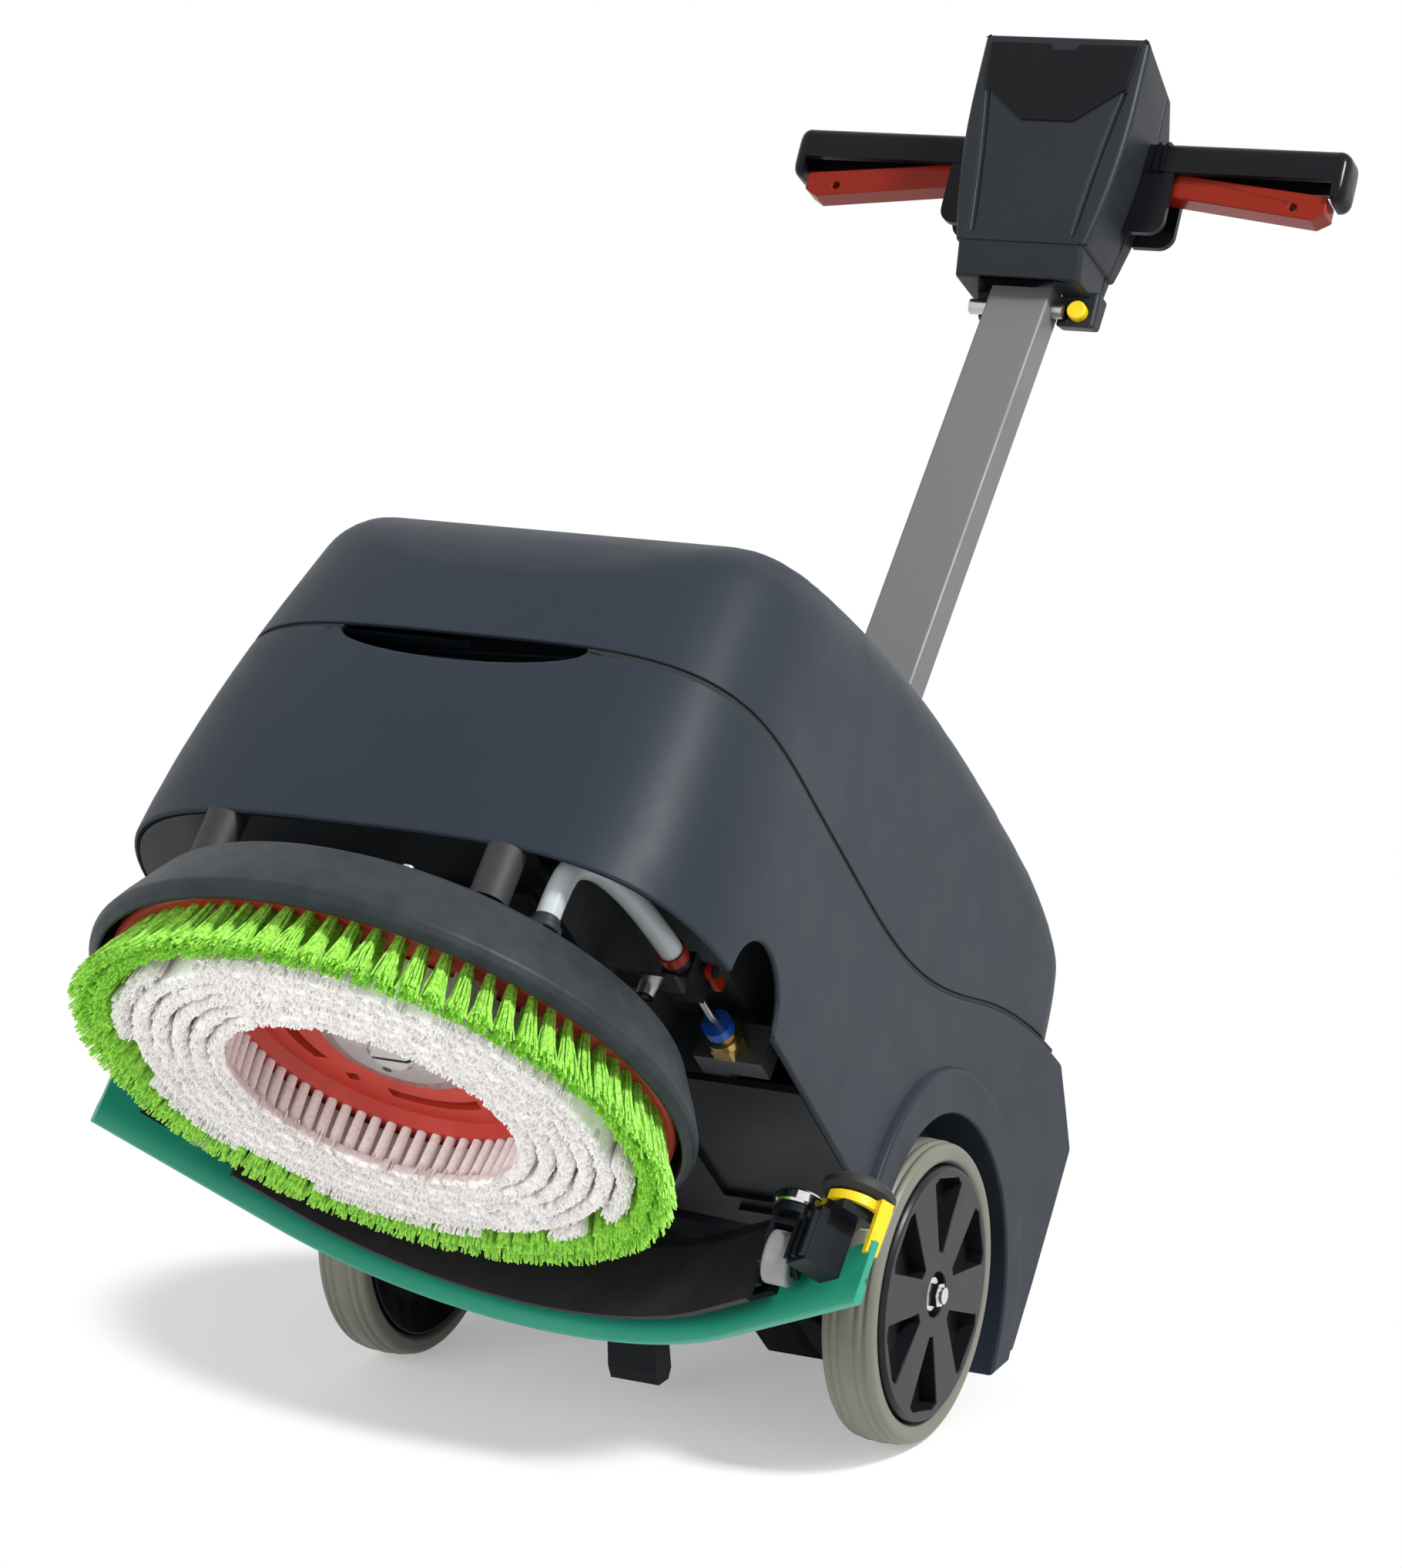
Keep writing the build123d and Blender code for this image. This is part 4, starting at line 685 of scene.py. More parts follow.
@dataclass
class ScrubBrush:
    """The disc brush: red back, two green outer rings and the white rings inside them."""

    shop: Workshop
    axis_u: float = -400.0
    foot_w: float = -81.0        # height of the brush back
    tip_w: float = -119.4        # height of the longest tips
    reach: float = 189.8         # radius that no filament passes
    filament: float = 0.55       # radius of a filament
    flare: float = 1.15          # power of the height by which a tuft widens
    sweep: float = 1.2           # power of the height by which a ring leans out or in
    lean: float = 1.0            # how far whole tufts stray towards or from the axis
    crimp: float = 0.5           # how far filaments stray, times crimp_growth at their tips
    crimp_growth: float = 1.6
    worn: float = 2.4            # shortening of the most worn filaments
    dome: float = 3.2            # shortening at the edges of a ring
    core: float = 0.82           # width of a tuft's core against its filaments
    core_steps: tuple[float, ...] = (0.0, 0.35, 0.6, 0.84)   # its rings, as shares of the height
    core_seen: float = 5.0       # crests that end this far short of the back show the cores
    crest_sink: float = 3.0      # top of a crest below the tips
    crest_round: float = 0.7     # height of a crest's round part against its half width
    crest_foot: float = 0.82     # half width at a crest's lower edge against that above
    crest_gap: float = 0.2       # half width that crests give up to stand apart
    crest_rough: float = 0.32
    crest_stations: int = 260
    seed: int = 11               # of the first bed; each further bed takes the next number
    green: tuple[TuftRow, ...] = (
        TuftRow(169.0, 184.5, 78, 36, 2.7, 6.6, 7.2),
        TuftRow(160.5, 173.0, 76, 30, 2.7, 6.2, 7.2, 0.5),
    )
    white: tuple[TuftRow, ...] = (
        TuftRow(100.5, 97.0, 64, 34, 3.9, 4.6, 5.2, 0.0, seen_from=0.72, crest=-108.5),
        TuftRow(111.5, 109.0, 66, 34, 3.4, 4.7, 5.9, 0.5, seen_from=0.80, crest=-84.0),
        TuftRow(122.5, 121.0, 72, 34, 3.4, 4.7, 5.9, seen_from=0.80, crest=-84.0),
    )
    white_outer: tuple[TuftRow, ...] = (
        TuftRow(133.5, 133.0, 78, 34, 3.4, 4.7, 5.9, 0.5, seen_from=0.80, crest=-84.0),
        TuftRow(144.0, 145.0, 84, 34, 3.4, 4.9, 6.1, seen_from=0.80, crest=-84.0),
        TuftRow(152.5, 157.0, 88, 32, 3.0, 6.0, 6.2, 0.5, seen_from=0.3, sectors=(
            (8, 40), (52, 66), (84, 128), (146, 176), (196, 236), (250, 292), (306, 344))),
    )

    def tuft(self, row: TuftRow, steps: np.ndarray) -> tuple[np.ndarray, np.ndarray, np.ndarray]:
        """Sizes of a tuft on its way up: each grows from foot to tip with a power of the height.

        Args:
            row: Sizes of the ring.
            steps: Shares of the height.

        Returns:
            Radius of the ring, half depth of a tuft and half width of a tuft.
        """
        ring = row.foot + (row.tip - row.foot) * steps ** self.sweep
        depth = row.hole + (row.spread - row.hole) * steps ** self.flare
        width = row.hole + (row.width - row.hole) * steps ** self.flare
        return ring, depth, width

    def about_axis(self, out: np.ndarray, side: np.ndarray | float,
                   turns: np.ndarray) -> tuple[np.ndarray, np.ndarray]:
        """Turn points about the brush's axis.

        Args:
            out: Distance from the axis.
            side: Distance sideways, along the ring.
            turns: Turn about the axis in radians.

        Returns:
            x and u of the points.
        """
        c, s = np.cos(turns), np.sin(turns)
        return out * c - side * s, out * s + side * c + self.axis_u

    def filaments(self, row: TuftRow, rng: np.random.Generator) -> np.ndarray:
        """Three-sided filaments of one ring of tufts.

        Each tuft is a cone: a filament starts at a random point of the tuft's foot disc and ends
        at the same point of a wider tip oval, bowed by a small random crimp between them. The tips
        make a low dome across the ring.

        Args:
            row: Sizes of the ring.
            rng: Seeded random numbers.

        Returns:
            Points laid out as filament, ring, point, coordinate, in millimetres.
        """
        turns = row.turns()[:, None, None]
        shape = (len(turns), row.bristles)
        radius = np.sqrt(rng.random(shape))
        angle = rng.random(shape) * 2 * np.pi
        away, aside = radius * np.cos(angle), radius * np.sin(angle)
        lean = rng.normal(0.0, self.lean, (len(turns), 1, 1))
        rings = 4 if row.seen_from < 0.5 else 3   # a short stretch needs fewer
        steps = np.linspace(row.seen_from, 1.0, rings)
        ring, depth, width = self.tuft(row, steps)
        stray = rng.normal(0.0, self.crimp, (*shape, 2, rings))
        stray = stray * (steps - row.seen_from) * self.crimp_growth
        out = ring + away[..., None] * depth + stray[:, :, 0] + lean * steps
        side = aside[..., None] * width + stray[:, :, 1]
        tip = self.tip_w + rng.random(shape) ** 2 * self.worn + away ** 2 * self.dome
        height = self.foot_w + (tip - self.foot_w)[..., None] * steps
        x, u = self.about_axis(np.minimum(out, self.reach), side, turns)
        line = np.stack([x, u, height], axis=-1).reshape(-1, rings, 3)
        corner = np.radians(np.array([0.0, 120.0, 240.0]))
        section = np.stack([np.cos(corner), np.sin(corner), np.zeros(3)], axis=-1) * self.filament
        return line[:, :, None, :] + section

    def cores(self, row: TuftRow) -> np.ndarray:
        """Ten-sided bodies of the tufts of one ring, up to where their filaments part.

        Args:
            row: Sizes of the ring.

        Returns:
            Points laid out as tuft, ring, point, coordinate, in millimetres.
        """
        steps = np.array(self.core_steps)[:, None]
        ring, depth, width = self.tuft(row, steps)
        corner = np.radians(np.arange(10) * 36.0)
        x, u = self.about_axis(ring + depth * self.core * np.cos(corner),
                               width * self.core * np.sin(corner), row.turns()[:, None, None])
        height = self.foot_w + (self.tip_w - self.foot_w) * steps
        return np.stack(np.broadcast_arrays(x, u, height), axis=-1)

    def crest(self, row: TuftRow, rng: np.random.Generator) -> np.ndarray:
        """The matted crest of one ring: a half-round bead with two walls, roughened all over.

        Its lower edges follow the lean of the ring's tufts.

        Args:
            row: Sizes of the ring.
            rng: Seeded random numbers.

        Returns:
            Points laid out as station round the ring, point of the profile, coordinate.
        """
        turn = full_circle(self.crest_stations)[:, None]
        arch = np.radians(np.linspace(0.0, 180.0, 9))
        top = self.tip_w + self.crest_sink
        shoulder = top + row.spread * self.crest_round
        out = np.concatenate([[self.crest_foot], np.cos(arch), [-self.crest_foot]])
        out = out * (row.spread - self.crest_gap)
        bead = shoulder - np.sin(arch) * (shoulder - top)
        height = np.concatenate([[row.crest], bead, [row.crest]])
        rough = rng.normal(0.0, self.crest_rough, (len(turn), len(out), 2))
        edges = [0, -1]
        rough[:, edges] = 0.0
        radius = row.tip + out + rough[..., 0]
        rise, whole = row.crest - self.tip_w, self.foot_w - self.tip_w
        lower = row.tip + (row.foot - row.tip) * rise / whole
        radius[:, edges] += lower - row.tip
        x, u = self.about_axis(radius, 0.0, turn)
        return np.stack([x, u, height + rough[..., 1]], axis=-1)

    def bed(self, name: str, rows: tuple[TuftRow, ...], seed: int) -> bpy.types.Mesh:
        """One mesh with the tufts of some rings.

        Args:
            name: Name of the mesh.
            rows: Rings of tufts.
            seed: Seed of the random numbers.

        Returns:
            The mesh in world metres.
        """
        rng = np.random.default_rng(seed)
        place = self.shop.work.place
        patch = Patchwork()
        for row in rows:
            patch.tubes(place(self.filaments(row, rng)))
            if row.crest is None or row.crest < self.foot_w - self.core_seen:
                patch.tubes(place(self.cores(row)))
            if row.crest is not None:
                patch.hoop(place(self.crest(row, rng)))
        return patch.mesh(name)

    def build(self) -> None:
        """Fit the beds of bristle and dress the back and its drive."""
        beds = (("green_tufts", self.green, Slot.GREEN_FIBRE, "green_bristles"),
                ("white_tufts", self.white, Slot.WHITE_FIBRE, "white_bristles"),
                ("white_tufts_outer", self.white_outer, Slot.WHITE_FIBRE))
        for seed, (name, rows, slot, *stands_for) in enumerate(beds, start=self.seed):
            self.shop.fit(self.bed(name, rows, seed), Body.BRUSH, slot, *stands_for)
        self.shop.dress_nodes({Slot.RED_BRUSH: ("brush_block",), Slot.STEEL: ("brush_drive",)})


# ---------------------------------------------------------------- wheels
@dataclass
class TransportWheels:
    """The two grey-tyred wheels."""

    shop: Workshop
    middle_x: float = 186.0      # middle plane of a wheel, from the middle of the machine
    outside: float = 100.0       # radius of the tread
    rim: float = 84.0            # radius inside the tyre
    half_width: float = 18.0
    square_across: float = 0.62  # powers that square the profile's oval
    square_out: float = 0.55
    grooves: tuple[Triple, ...] = (   # place across, half width and depth of each
        (-11.8, 1.4, 1.5), (-5.9, 1.2, 1.1), (5.9, 1.2, 1.1), (11.8, 1.4, 1.5))
    seam: float = 0.25           # height of the mould seam
    seam_half: float = 0.5       # its half width
    tread_rise: float = 2.0      # how fast grooves and seam set in up the sides
    hub_width: float = 1.0       # rounding of the hub's edges
    profile_points: int = 120
    stations: int = 144

    def tyre(self, name: str, side: int) -> bpy.types.Mesh:
        """The tyre as a hoop of one profile about the axle.

        The profile is a squared oval between rim and tread. The tread sinks in soft grooves and
        lifts in a fine mould seam at its middle, each a bell curve across the width.

        Args:
            name: Name of the mesh.
            side: 1 for the right wheel, -1 for the left.

        Returns:
            The mesh in world metres.
        """
        around = full_circle(self.profile_points)
        middle, half = (self.outside + self.rim) / 2, (self.outside - self.rim) / 2
        across = squared(np.cos(around), self.square_across) * self.half_width
        radius = middle + squared(np.sin(around), self.square_out) * half
        tread = np.clip(np.sin(around) * self.tread_rise, 0.0, 1.0)
        for centre, width, depth in self.grooves:
            radius = radius - tread * depth * np.exp(-((across - centre) / width) ** 2)
        radius = radius - self.seam * tread
        radius = radius + self.seam * tread * np.exp(-(across / self.seam_half) ** 2)
        turn = full_circle(self.stations)[:, None]
        points = np.stack(np.broadcast_arrays(
            side * self.middle_x + across, radius * np.cos(turn), radius * np.sin(turn)), axis=-1)
        patch = Patchwork()
        patch.hoop(self.shop.work.place(points))
        return patch.mesh(name)

    def build(self) -> None:
        """Fit tyres and rounded hubs."""
        for name, side, body in (("right", 1, Body.WHEEL_RIGHT), ("left", -1, Body.WHEEL_LEFT)):
            tyre = self.tyre("tyre_" + name + ".tread", side)
            self.shop.fit(tyre, body, Slot.TYRE, "tyre_" + name)
            self.shop.softened("wheel_hub_" + name, body, Slot.HUB, self.hub_width, segments=3)
        self.shop.dress_nodes({Slot.CHROME: ("wheel_nuts",)})


# ---------------------------------------------------------------- squeegee
@dataclass
class Squeegee:
    """The parked squeegee: curved blade, strip, carrier, rollers and clips."""

    shop: Workshop
    pivot_u: float = -185.0
    bend: float = 215.0          # radius of the outer face
    back: float = 67.0           # outer face behind the pivot
    arc: float = 45.5            # half angle of the bend in degrees
    end: float = 142.0           # straight run at each end
    parked: float = 9.6          # swivel of the parked squeegee in degrees
    stations: int = 181          # even stations along the blade
    slots: tuple[float, ...] = (-238.0, -143.0, -48.0, 48.0, 143.0, 238.0)
    slot_depth: float = 3.2
    slot_half: float = 1.7       # half width of a slot
    near: tuple[float, ...] = (-3.4, -2.4, -1.9, -1.4, 0.0, 1.4, 1.9, 2.4, 3.4)   # added at a slot
    slotted: tuple[float, float] = (-103.0, -78.5)   # heights that the slots lie between
    section: tuple[tuple[float, float], ...] = (     # distance outwards and height
        (-4.0, -79.0), (-3.2, -78.2), (-0.8, -78.2), (0.0, -79.0), (0.0, -82.0), (0.0, -90.0),
        (0.0, -98.0), (0.0, -102.0), (-0.1, -103.6), (-0.9, -104.4), (-0.9, -105.4), (-0.1, -106.2),
        (0.9, -106.8), (1.4, -108.0), (1.4, -113.0), (1.4, -118.2), (0.8, -119.6), (-0.2, -120.0),
        (-3.2, -120.0), (-4.0, -119.2), (-4.0, -105.0), (-4.0, -90.0))

    def place(self, along: np.ndarray, out: np.ndarray, w: np.ndarray) -> np.ndarray:
        """Machine points of places along the squeegee's bend.

        The line is an arc with a straight run at each end. A place is found by its distance along
        the outer face from the middle, its distance outwards from that face, and its height.

        Args:
            along: Distance along the outer face.
            out: Distance outwards.
            w: Height.

        Returns:
            Points x, u, w in the working frame.
        """
        limit = math.radians(self.arc)
        angle = np.clip(along / self.bend, -limit, limit)
        run = along - angle * self.bend
        radius = self.bend + out
        x = radius * np.sin(angle) + run * np.cos(angle)
        u = self.back - self.bend + radius * np.cos(angle) - np.abs(run) * np.sin(np.abs(angle))
        turn = math.radians(self.parked)
        c, s = math.cos(turn), math.sin(turn)
        return np.stack(np.broadcast_arrays(
            x * c - u * s, x * s + u * c + self.pivot_u, w), axis=-1)

    def blade(self) -> bpy.types.Mesh:
        """The teal blade: a closed section carried along the bend.

        The outer face steps out to a lip along the lower edge. Slots are narrow bell-shaped hollows
        across the upper part of the outer face.

        Returns:
            The mesh in world metres.
        """
        half = math.radians(self.arc) * self.bend + self.end
        even = np.linspace(-half, half, self.stations)
        extra = (slot + np.array(self.near) for slot in self.slots)
        along = np.unique(np.concatenate([even, *extra]))[:, None]
        out, w = np.array(self.section).T
        low, high = self.slotted
        upper = (out > -0.5) & (w > low) & (w < high)
        for slot in self.slots:
            out = out - self.slot_depth * upper * np.exp(-((along - slot) / self.slot_half) ** 4)
        patch = Patchwork()
        patch.tubes(self.shop.work.place(self.place(along, out, w))[None])
        return patch.mesh("blade.moulded")

    def build(self) -> None:
        """Fit the blade and dress the rest."""
        self.shop.fit(self.blade(), Body.SQUEEGEE, Slot.BLADE, "squeegee_blade", sharp=50.0)
        self.shop.dress_nodes({
            Slot.STRIP: ("squeegee_strip",),
            Slot.BLACK: ("squeegee_carrier", "squeegee_arms", "roller_forks", "end_brackets"),
            Slot.CHROME: ("roller_caps",),
            Slot.YELLOW: ("bumper_clips",),
            Slot.GREY_WHEEL: ("guide_roller_right", "guide_roller_left"),
            Slot.RUBBER: ("bumper_roller_right", "bumper_roller_left"),
        })


# ---------------------------------------------------------------- water line
@dataclass
class WaterLine:
    """Clear hose, tap and tube to the tank coupling."""

    shop: Workshop
    outside: float = 7.5         # radius of the hose
    bore: float = 5.2            # radius of its bore
    stations: int = 72
    around: int = 28             # points round the hose
    route: tuple[Triple, ...] = (
        (121, -494, -27), (121, -494, -8), (121.5, -491, 10), (126, -475, 21), (132, -455, 23.5),
        (140, -433, 21.5), (147, -414, 17), (150, -400, 15.2), (150, -388, 15))

    def centre_line(self) -> np.ndarray:
        """A smooth line near the route: four rounds of cutting corners, then even steps.

        Returns:
            Points x, u, w.
        """
        line = np.array(self.route, float)
        for _ in range(4):
            near = line[:-1] * 0.75 + line[1:] * 0.25
            far = line[:-1] * 0.25 + line[1:] * 0.75
            cut = np.stack([near, far], axis=1).reshape(-1, 3)
            line = np.concatenate([line[:1], cut, line[-1:]])
        run = np.concatenate([[0.0], np.cumsum(np.linalg.norm(np.diff(line, axis=0), axis=1))])
        at = np.linspace(0.0, run[-1], self.stations)
        return np.stack([np.interp(at, run, line[:, k]) for k in range(3)], axis=-1)

    def hose(self) -> bpy.types.Mesh:
        """The hose as a hoop of rings: out along its outer wall and back along its bore.

        Rings stand square to the line, turned about a fixed sideways direction.

        Returns:
            The mesh in world metres.
        """
        line = self.centre_line()
        ahead = np.gradient(line, axis=0)
        ahead /= np.linalg.norm(ahead, axis=1, keepdims=True)
        side = np.cross(ahead, np.array([1.0, 0.0, 0.0]))
        side /= np.linalg.norm(side, axis=1, keepdims=True)
        other = np.cross(ahead, side)
        turn = full_circle(self.around)[None, :, None]
        ring = np.cos(turn) * side[:, None] + np.sin(turn) * other[:, None]
        out, back = line[:, None] + self.outside * ring, line[:, None] + self.bore * ring
        patch = Patchwork()
        patch.hoop(self.shop.work.place(np.concatenate([out, back[::-1]])))
        return patch.mesh("clear_hose")

    def build(self) -> None:
        """Fit the hose and dress the tap."""
        self.shop.fit(self.hose(), Body.MACHINE, Slot.HOSE, "water_hose", sharp=60.0)
        self.shop.dress_nodes({
            Slot.RED: ("hose_clamp", "tap_lever"),
            Slot.BLACK: ("tap_body",),
            Slot.STEEL: ("tap_bracket", "feed_tube"),
            Slot.BLUE: ("feed_collet",),
            Slot.BRASS: ("feed_coupling",),
        })


# ---------------------------------------------------------------- handle and head
@dataclass
class HandleAndHead:
    """Tube, control head, grips and levers.

    The head has a frame of its own, in millimetres: x across, b backwards and h up along its face.
    """

    shop: Workshop
    foot_u: float = -1.0         # lower edge of the face in the working frame
    foot_w: float = 863.0
    lean: float = 13.5           # lean of the face in degrees
    grip_b: float = 62.0         # middle of a grip behind the face
    grip_h: float = 98.5         # middle of its height
    grip_half: float = 17.0      # half its depth
    grip_rise: float = 13.0      # half its height
    grip_root: float = 60.0      # its inner end
    grip_end: float = 228.0      # its outer end
    grip_corner: float = 9.0     # radius of its upper edges
    channel_half: float = 11.0
    channel_top: float = 105.5
    channel_corner: float = 2.5
    block: float = 9.0           # length of the hooked end's rounded face
    block_lap: float = 1.0       # how far the end block goes on inwards from there
    bar_lap: float = 0.5         # how far the bar ends inside the block
    block_inset: float = 8.0     # shrinking of the end block at its face
    block_drop: float = 8.0      # middle of the end block below the grip's
    block_rise: float = 21.0     # half its height
    block_square: float = 0.42   # power that squares its oval
    cheek_end: float = 80.0      # outer end of the cheek's straight lower edge
    cheek_low: float = 34.5      # height of that edge
    cheek_arc: float = 12.0      # radius of the edge's rise after it
    cheek_inset: float = 0.6     # how far the cheek's sides lie inside the bar's
    cheek_drop: float = 1.0      # how far its top lies below the bar's
    collars: tuple[float, ...] = (74.0, 80.0)          # inner ends of the two collars
    collar: tuple[float, ...] = (0.0, 0.8, 2.2, 3.0)   # stations across a collar
    collar_low: float = 1.4      # how far a collar stands proud
    collar_high: float = 2.0     # how far its middle band does
    collar_corner: float = 10.0  # radius of its upper edges

    def place(self, points: np.ndarray) -> np.ndarray:
        """Carry points from the head's frame to the parked machine.

        Args:
            points: x, b and h along the last axis.

        Returns:
            World points in metres.
        """
        c, s = math.cos(math.radians(self.lean)), math.sin(math.radians(self.lean))
        x, b, h = points[..., 0], points[..., 1], points[..., 2]
        return self.shop.work.place(np.stack(
            [x, self.foot_u + b * c - h * s, self.foot_w + b * s + h * c], axis=-1))

    def arch(self, x: np.ndarray, half: float, top: float, low: np.ndarray,
             corner: float) -> np.ndarray:
        """Sections of a bar with an open channel below.

        The outer line rises on the front side, rounds the two upper corners with quarter circles
        and comes down behind. The inner line goes back the same way round the channel.

        Args:
            x: Stations along the bar.
            half: Half depth of the bar.
            top: Height of its upper face.
            low: Height of its lower rims at each station.
            corner: Radius of the upper corners.

        Returns:
            Points laid out as station, point of the section, coordinate, in the head's frame.
        """
        quarter = np.radians(np.linspace(0.0, 90.0, 7))
        walls = []
        for width, height, radius in ((half, top, corner),
                                      (self.channel_half, self.channel_top, self.channel_corner)):
            b = np.concatenate([[-width], -width + radius - radius * np.cos(quarter),
                                width - radius + radius * np.sin(quarter), [width]])
            h = np.concatenate([[0.0], height - radius + radius * np.sin(quarter),
                                height - radius + radius * np.cos(quarter), [0.0]])
            walls.append(np.stack([b, h], axis=-1))
        b, h = np.concatenate([walls[0], walls[1][::-1]]).T
        h = np.where(h == 0.0, low[:, None], h)
        return np.stack(np.broadcast_arrays(x[:, None], self.grip_b + b, h), axis=-1)

    def end_block(self) -> np.ndarray:
        """Sections of the hooked end: a squared oval, shrinking over a quarter circle at its face.

        Returns:
            Points laid out as one tube, station, point of the section, coordinate.
        """
        away = np.concatenate([np.zeros(1), np.linspace(0.0, 1.0, 9)])
        x = self.grip_end - self.block + away * self.block
        x[0] -= self.block_lap
        inset = self.block_inset * rounding(away)[:, None]
        turn = full_circle(48)
        b = self.grip_b + squared(np.cos(turn), self.block_square) * (self.grip_half - inset)
        middle = self.grip_h - self.block_drop
        h = middle + squared(np.sin(turn), self.block_square) * (self.block_rise - inset)
        return np.stack(np.broadcast_arrays(x[:, None], b, h), axis=-1)[None]

    def grip(self, name: str, side: int) -> bpy.types.Mesh:
        """A grip: rounded channel bar, hooked end, cheek beside the head and two collars.

        The cheek's lower edge rises to the bar over a quarter circle. Each collar is a band with a
        higher band in its middle.

        Args:
            name: Name of the mesh.
            side: 1 for the right grip, -1 for the left.

        Returns:
            The mesh in world metres.
        """
        half, corner = self.grip_half, self.grip_corner
        top, rim = self.grip_h + self.grip_rise, self.grip_h - self.grip_rise
        bar = np.array([self.grip_root, self.grip_end - self.block - self.bar_lap])
        rise = self.cheek_arc * np.sin(np.radians(np.linspace(9.0, 90.0, 10)))
        straight = np.linspace(self.grip_root, self.cheek_end, 3)
        cheek = np.concatenate([straight, self.cheek_end + rise])
        along = np.clip(cheek - self.cheek_end, 0.0, self.cheek_arc) / self.cheek_arc
        toe = self.cheek_low + self.cheek_arc * rounding(along)
        parts = [self.arch(bar, half, top, rim + 0 * bar, corner),
                 self.arch(cheek, half - self.cheek_inset, top - self.cheek_drop, toe, corner)]
        for start in self.collars:
            band = start + np.array(self.collar)
            for swell, x in ((self.collar_high, band[1:3]), (self.collar_low, band)):
                parts.append(self.arch(x, half + swell, top + swell, rim + 0 * x,
                                       self.collar_corner))
        patch = Patchwork()
        mirror = np.array([side, 1.0, 1.0])
        for rings in parts:
            patch.trough(self.place(rings * mirror))
        patch.tubes(self.place(self.end_block() * mirror))
        return patch.mesh(name)

    def build(self) -> None:
        """Fit the grips, round the edges of what hands touch and dress the rest."""
        shop = self.shop
        shop.softened("handle_tube", Body.HANDLE, Slot.TUBE, width=0.6)
        shop.softened("head_panel", Body.HEAD, Slot.GLOSS, width=0.6)
        for part, width in (("head_front", 2.6), ("head_rear", 2.2)):
            shell = shop.softened(part, Body.HEAD, Slot.BLACK, width, segments=4)
            shell.material_slots[0].material = shop.finishes.head
        for name, side, lever in (("right", 1, Body.LEVER_RIGHT), ("left", -1, Body.LEVER_LEFT)):
            grip = self.grip("grip_" + name + ".moulded", side)
            shop.fit(grip, Body.HEAD, Slot.GLOSS, "grip_" + name)
            shop.softened("lever_" + name, lever, Slot.RED, width=1.2, segments=3)
        shop.dress_nodes({Slot.STEEL: ("tube_bolt", "head_pins"), Slot.YELLOW: ("tilt_button",)})


# ---------------------------------------------------------------- studio
@dataclass(frozen=True)
class Lamp:
    """A square soft light."""

    name: str
    energy: float                # watts
    size: float                  # side in metres
    place: Triple
    target: Triple
    mirrored: bool = True        # whether it shows in glossy surfaces

    def hang(self) -> None:
        """Put the light in its place, pointing at its target."""
        data = bpy.data.lights.new(self.name, "AREA")
        data.energy = self.energy
        data.size = self.size
        lamp = bpy.data.objects.new(self.name, data)
        lamp.location = self.place
        aim = Vector(self.target) - Vector(self.place)
        lamp.rotation_euler = aim.to_track_quat("-Z", "Y").to_euler()
        lamp.visible_glossy = self.mirrored
        bpy.context.scene.collection.objects.link(lamp)


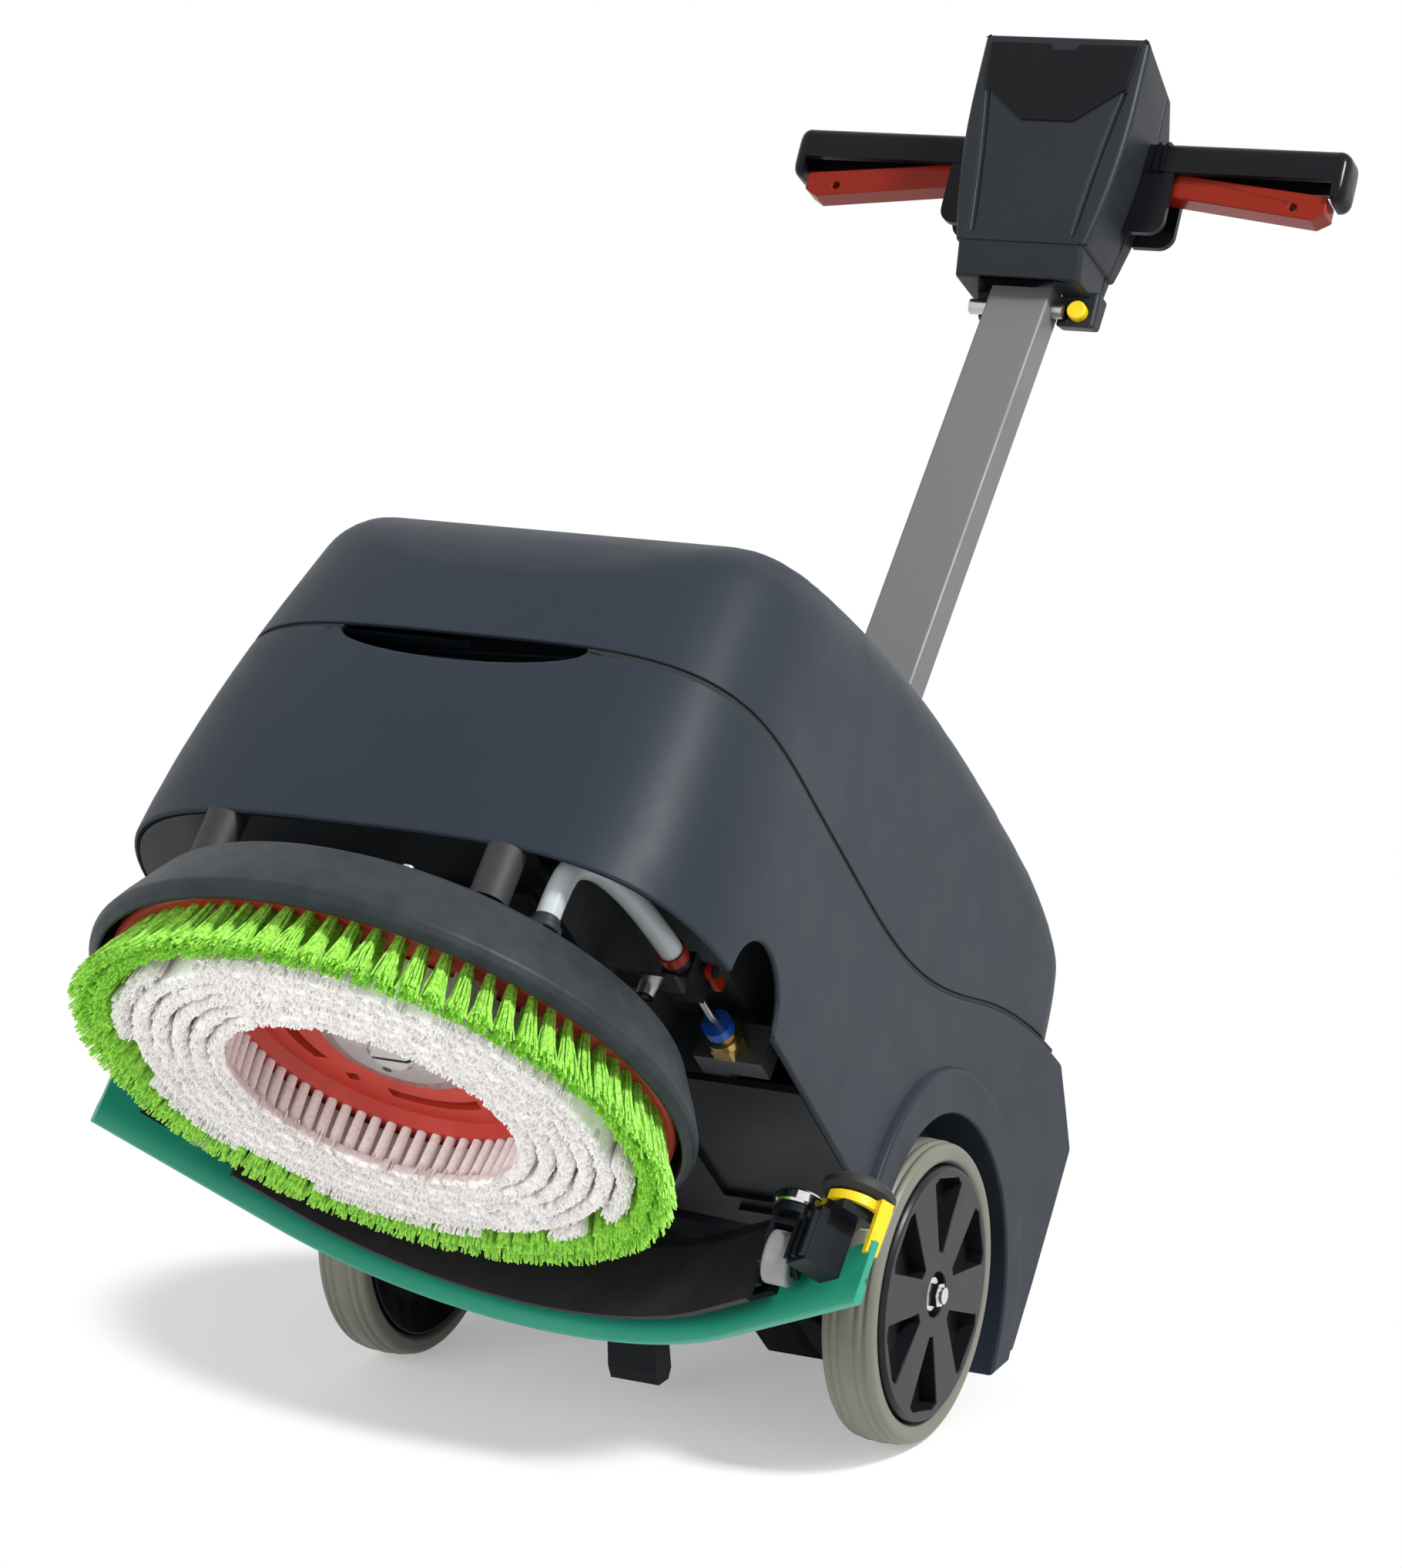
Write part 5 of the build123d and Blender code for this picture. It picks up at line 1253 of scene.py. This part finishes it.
@dataclass
class Studio:
    """Pale floor, plain soft light and the camera."""

    work: WorkFrame
    azimuth: float = 26.5003     # of the camera, in degrees from straight ahead
    elevation: float = 13.2547
    camera_place: Triple = (1.29982, -2.53628, 0.98998)   # from the middle of the axle, in metres
    sensor: float = 36.0         # longer side of the camera's sensor in millimetres
    lens: float = 103.044914     # focal length in millimetres
    sky: float = 0.42            # strength of the surround's light
    lamps: tuple[Lamp, ...] = (
        Lamp("key", energy=122.0, size=0.55, place=(2.35, -0.10, 2.85), target=(0.0, -0.1, 0.35)),
        Lamp("fill", energy=66.0, size=2.2, place=(-1.0, -3.3, 1.6), target=(0.0, 0.0, 0.3),
             mirrored=False),
    )
    floor_half: float = 12.0     # half the floor's side in metres
    floor_tone: float = 0.93
    shadow: float = 0.66         # share of the floor's tone that shade can take away
    pool: tuple[float, float] = (-0.11, -0.10)       # middle of the shaded oval in metres
    pool_half: tuple[float, float] = (0.36, 0.19)    # its half axes
    pool_edge: tuple[float, float] = (0.82, 1.04)    # start and end of its fading, in half axes

    def clear(self) -> None:
        """Take away what a new file brings along."""
        for name in ("Cube", "Light", "Camera"):
            if name in bpy.data.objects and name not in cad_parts:
                bpy.data.objects.remove(bpy.data.objects[name])

    def camera(self) -> None:
        """Set the camera up level, looking down at the machine from its front right."""
        data = bpy.data.cameras.new("camera")
        data.sensor_width = self.sensor
        data.lens = self.lens
        camera = bpy.data.objects.new("camera", data)
        bpy.context.scene.collection.objects.link(camera)
        a, e = math.radians(self.azimuth), math.radians(self.elevation)
        back = Vector((math.sin(a) * math.cos(e), -math.cos(a) * math.cos(e), math.sin(e)))
        right = Vector((math.cos(a), math.sin(a), 0.0))
        matrix = Matrix((right, back.cross(right), back)).transposed().to_4x4()
        axle = Vector((self.work.x, self.work.y, self.work.z))
        matrix.translation = Vector(self.camera_place) + axle
        camera.matrix_world = matrix
        bpy.context.scene.camera = camera

    def seen_directly(self, tree: bpy.types.NodeTree) -> bpy.types.NodeSocket:
        """1 for rays from the camera, a mirror or glass, and 0 for diffuse light.

        Args:
            tree: Node tree to add to.

        Returns:
            The socket with the answer.
        """
        path = tree.nodes.new("ShaderNodeLightPath")
        largest = path.outputs["Is Camera Ray"]
        for name in ("Is Glossy Ray", "Is Transmission Ray"):
            pick = tree.nodes.new("ShaderNodeMath")
            pick.operation = "MAXIMUM"
            tree.links.new(largest, pick.inputs[0])
            tree.links.new(path.outputs[name], pick.inputs[1])
            largest = pick.outputs[0]
        return largest

    def sky_light(self) -> None:
        """A white surround that lights the machine softly."""
        world = bpy.data.worlds.new("surround")
        bpy.context.scene.world = world
        world.use_nodes = True
        tree = world.node_tree
        background = tree.nodes["Background"]
        background.inputs["Color"].default_value = (1.0, 1.0, 1.0, 1.0)
        strength = tree.nodes.new("ShaderNodeMapRange")
        strength.inputs["To Min"].default_value = self.sky
        strength.inputs["To Max"].default_value = 1.0
        tree.links.new(self.seen_directly(tree), strength.inputs["Value"])
        tree.links.new(strength.outputs["Result"], background.inputs["Strength"])

    def floor_finish(self) -> bpy.types.Material:
        """White that glows where it is seen, apart from an oval that takes the machine's shadow.

        The oval's share is a smooth step of the distance from its middle, counted in half axes.

        Returns:
            The material.
        """
        material = bpy.data.materials.new("white floor")
        material.use_nodes = True
        tree = material.node_tree
        tree.nodes.clear()
        output = tree.nodes.new("ShaderNodeOutputMaterial")
        lit = tree.nodes.new("ShaderNodeBsdfDiffuse")
        lit.inputs["Color"].default_value = (*[self.floor_tone] * 3, 1.0)
        glow = tree.nodes.new("ShaderNodeEmission")
        glow.inputs["Strength"].default_value = 1.0
        blend = tree.nodes.new("ShaderNodeMixShader")
        place = tree.nodes.new("ShaderNodeTexCoord")
        oval = tree.nodes.new("ShaderNodeVectorMath")
        oval.operation = "MULTIPLY_ADD"
        (x, y), (half_x, half_y) = self.pool, self.pool_half
        oval.inputs[1].default_value = (1.0 / half_x, 1.0 / half_y, 0.0)
        oval.inputs[2].default_value = (-x / half_x, -y / half_y, 0.0)
        distance = tree.nodes.new("ShaderNodeVectorMath")
        distance.operation = "LENGTH"
        fade = tree.nodes.new("ShaderNodeMapRange")
        fade.interpolation_type = "SMOOTHSTEP"
        start, end = self.pool_edge
        for name, value in (("From Min", start), ("From Max", end),
                            ("To Min", 1.0 - self.shadow), ("To Max", 1.0)):
            fade.inputs[name].default_value = value
        seen = tree.nodes.new("ShaderNodeMath")
        seen.operation = "MULTIPLY"
        for source, target in (
                (place.outputs["Object"], oval.inputs[0]),
                (oval.outputs[0], distance.inputs[0]),
                (distance.outputs["Value"], fade.inputs["Value"]),
                (fade.outputs["Result"], seen.inputs[0]),
                (self.seen_directly(tree), seen.inputs[1]),
                (seen.outputs[0], blend.inputs["Fac"]),
                (lit.outputs[0], blend.inputs[1]),
                (glow.outputs[0], blend.inputs[2]),
                (blend.outputs[0], output.inputs["Surface"])):
            tree.links.new(source, target)
        return material

    def floor(self) -> None:
        """A white floor that keeps a softened shadow near the machine."""
        half = self.floor_half
        outline = [(-half, -half, 0), (half, -half, 0), (half, half, 0), (-half, half, 0)]
        mesh = bpy.data.meshes.new("floor")
        mesh.from_pydata(outline, [], [(0, 1, 2, 3)])
        mesh.materials.append(self.floor_finish())
        floor = bpy.data.objects.new("floor", mesh)
        bpy.context.scene.collection.objects.link(floor)
        floor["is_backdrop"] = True

    def build(self) -> None:
        """Set up camera, light and floor."""
        self.camera()
        self.sky_light()
        self.floor()
        for lamp in self.lamps:
            lamp.hang()
        bpy.context.scene.view_settings.view_transform = "Standard"


def corners() -> list[list[float]]:
    """Lowest and highest corner of the shown machine as plain numbers."""
    return [[float(c) for c in corner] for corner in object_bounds()]


def main() -> None:
    """Build the machine and the studio."""
    logging.basicConfig(level=logging.INFO, format="%(message)s")
    work = WorkFrame.from_wheels()
    studio = Studio(work)
    studio.clear()
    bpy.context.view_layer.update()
    shop = Workshop(Finishes(), work)
    for assembly in (Housing, ScrubBrush, TransportWheels, Squeegee, WaterLine, HandleAndHead):
        assembly(shop).build()
    studio.build()


if __name__ == "__main__":
    main()
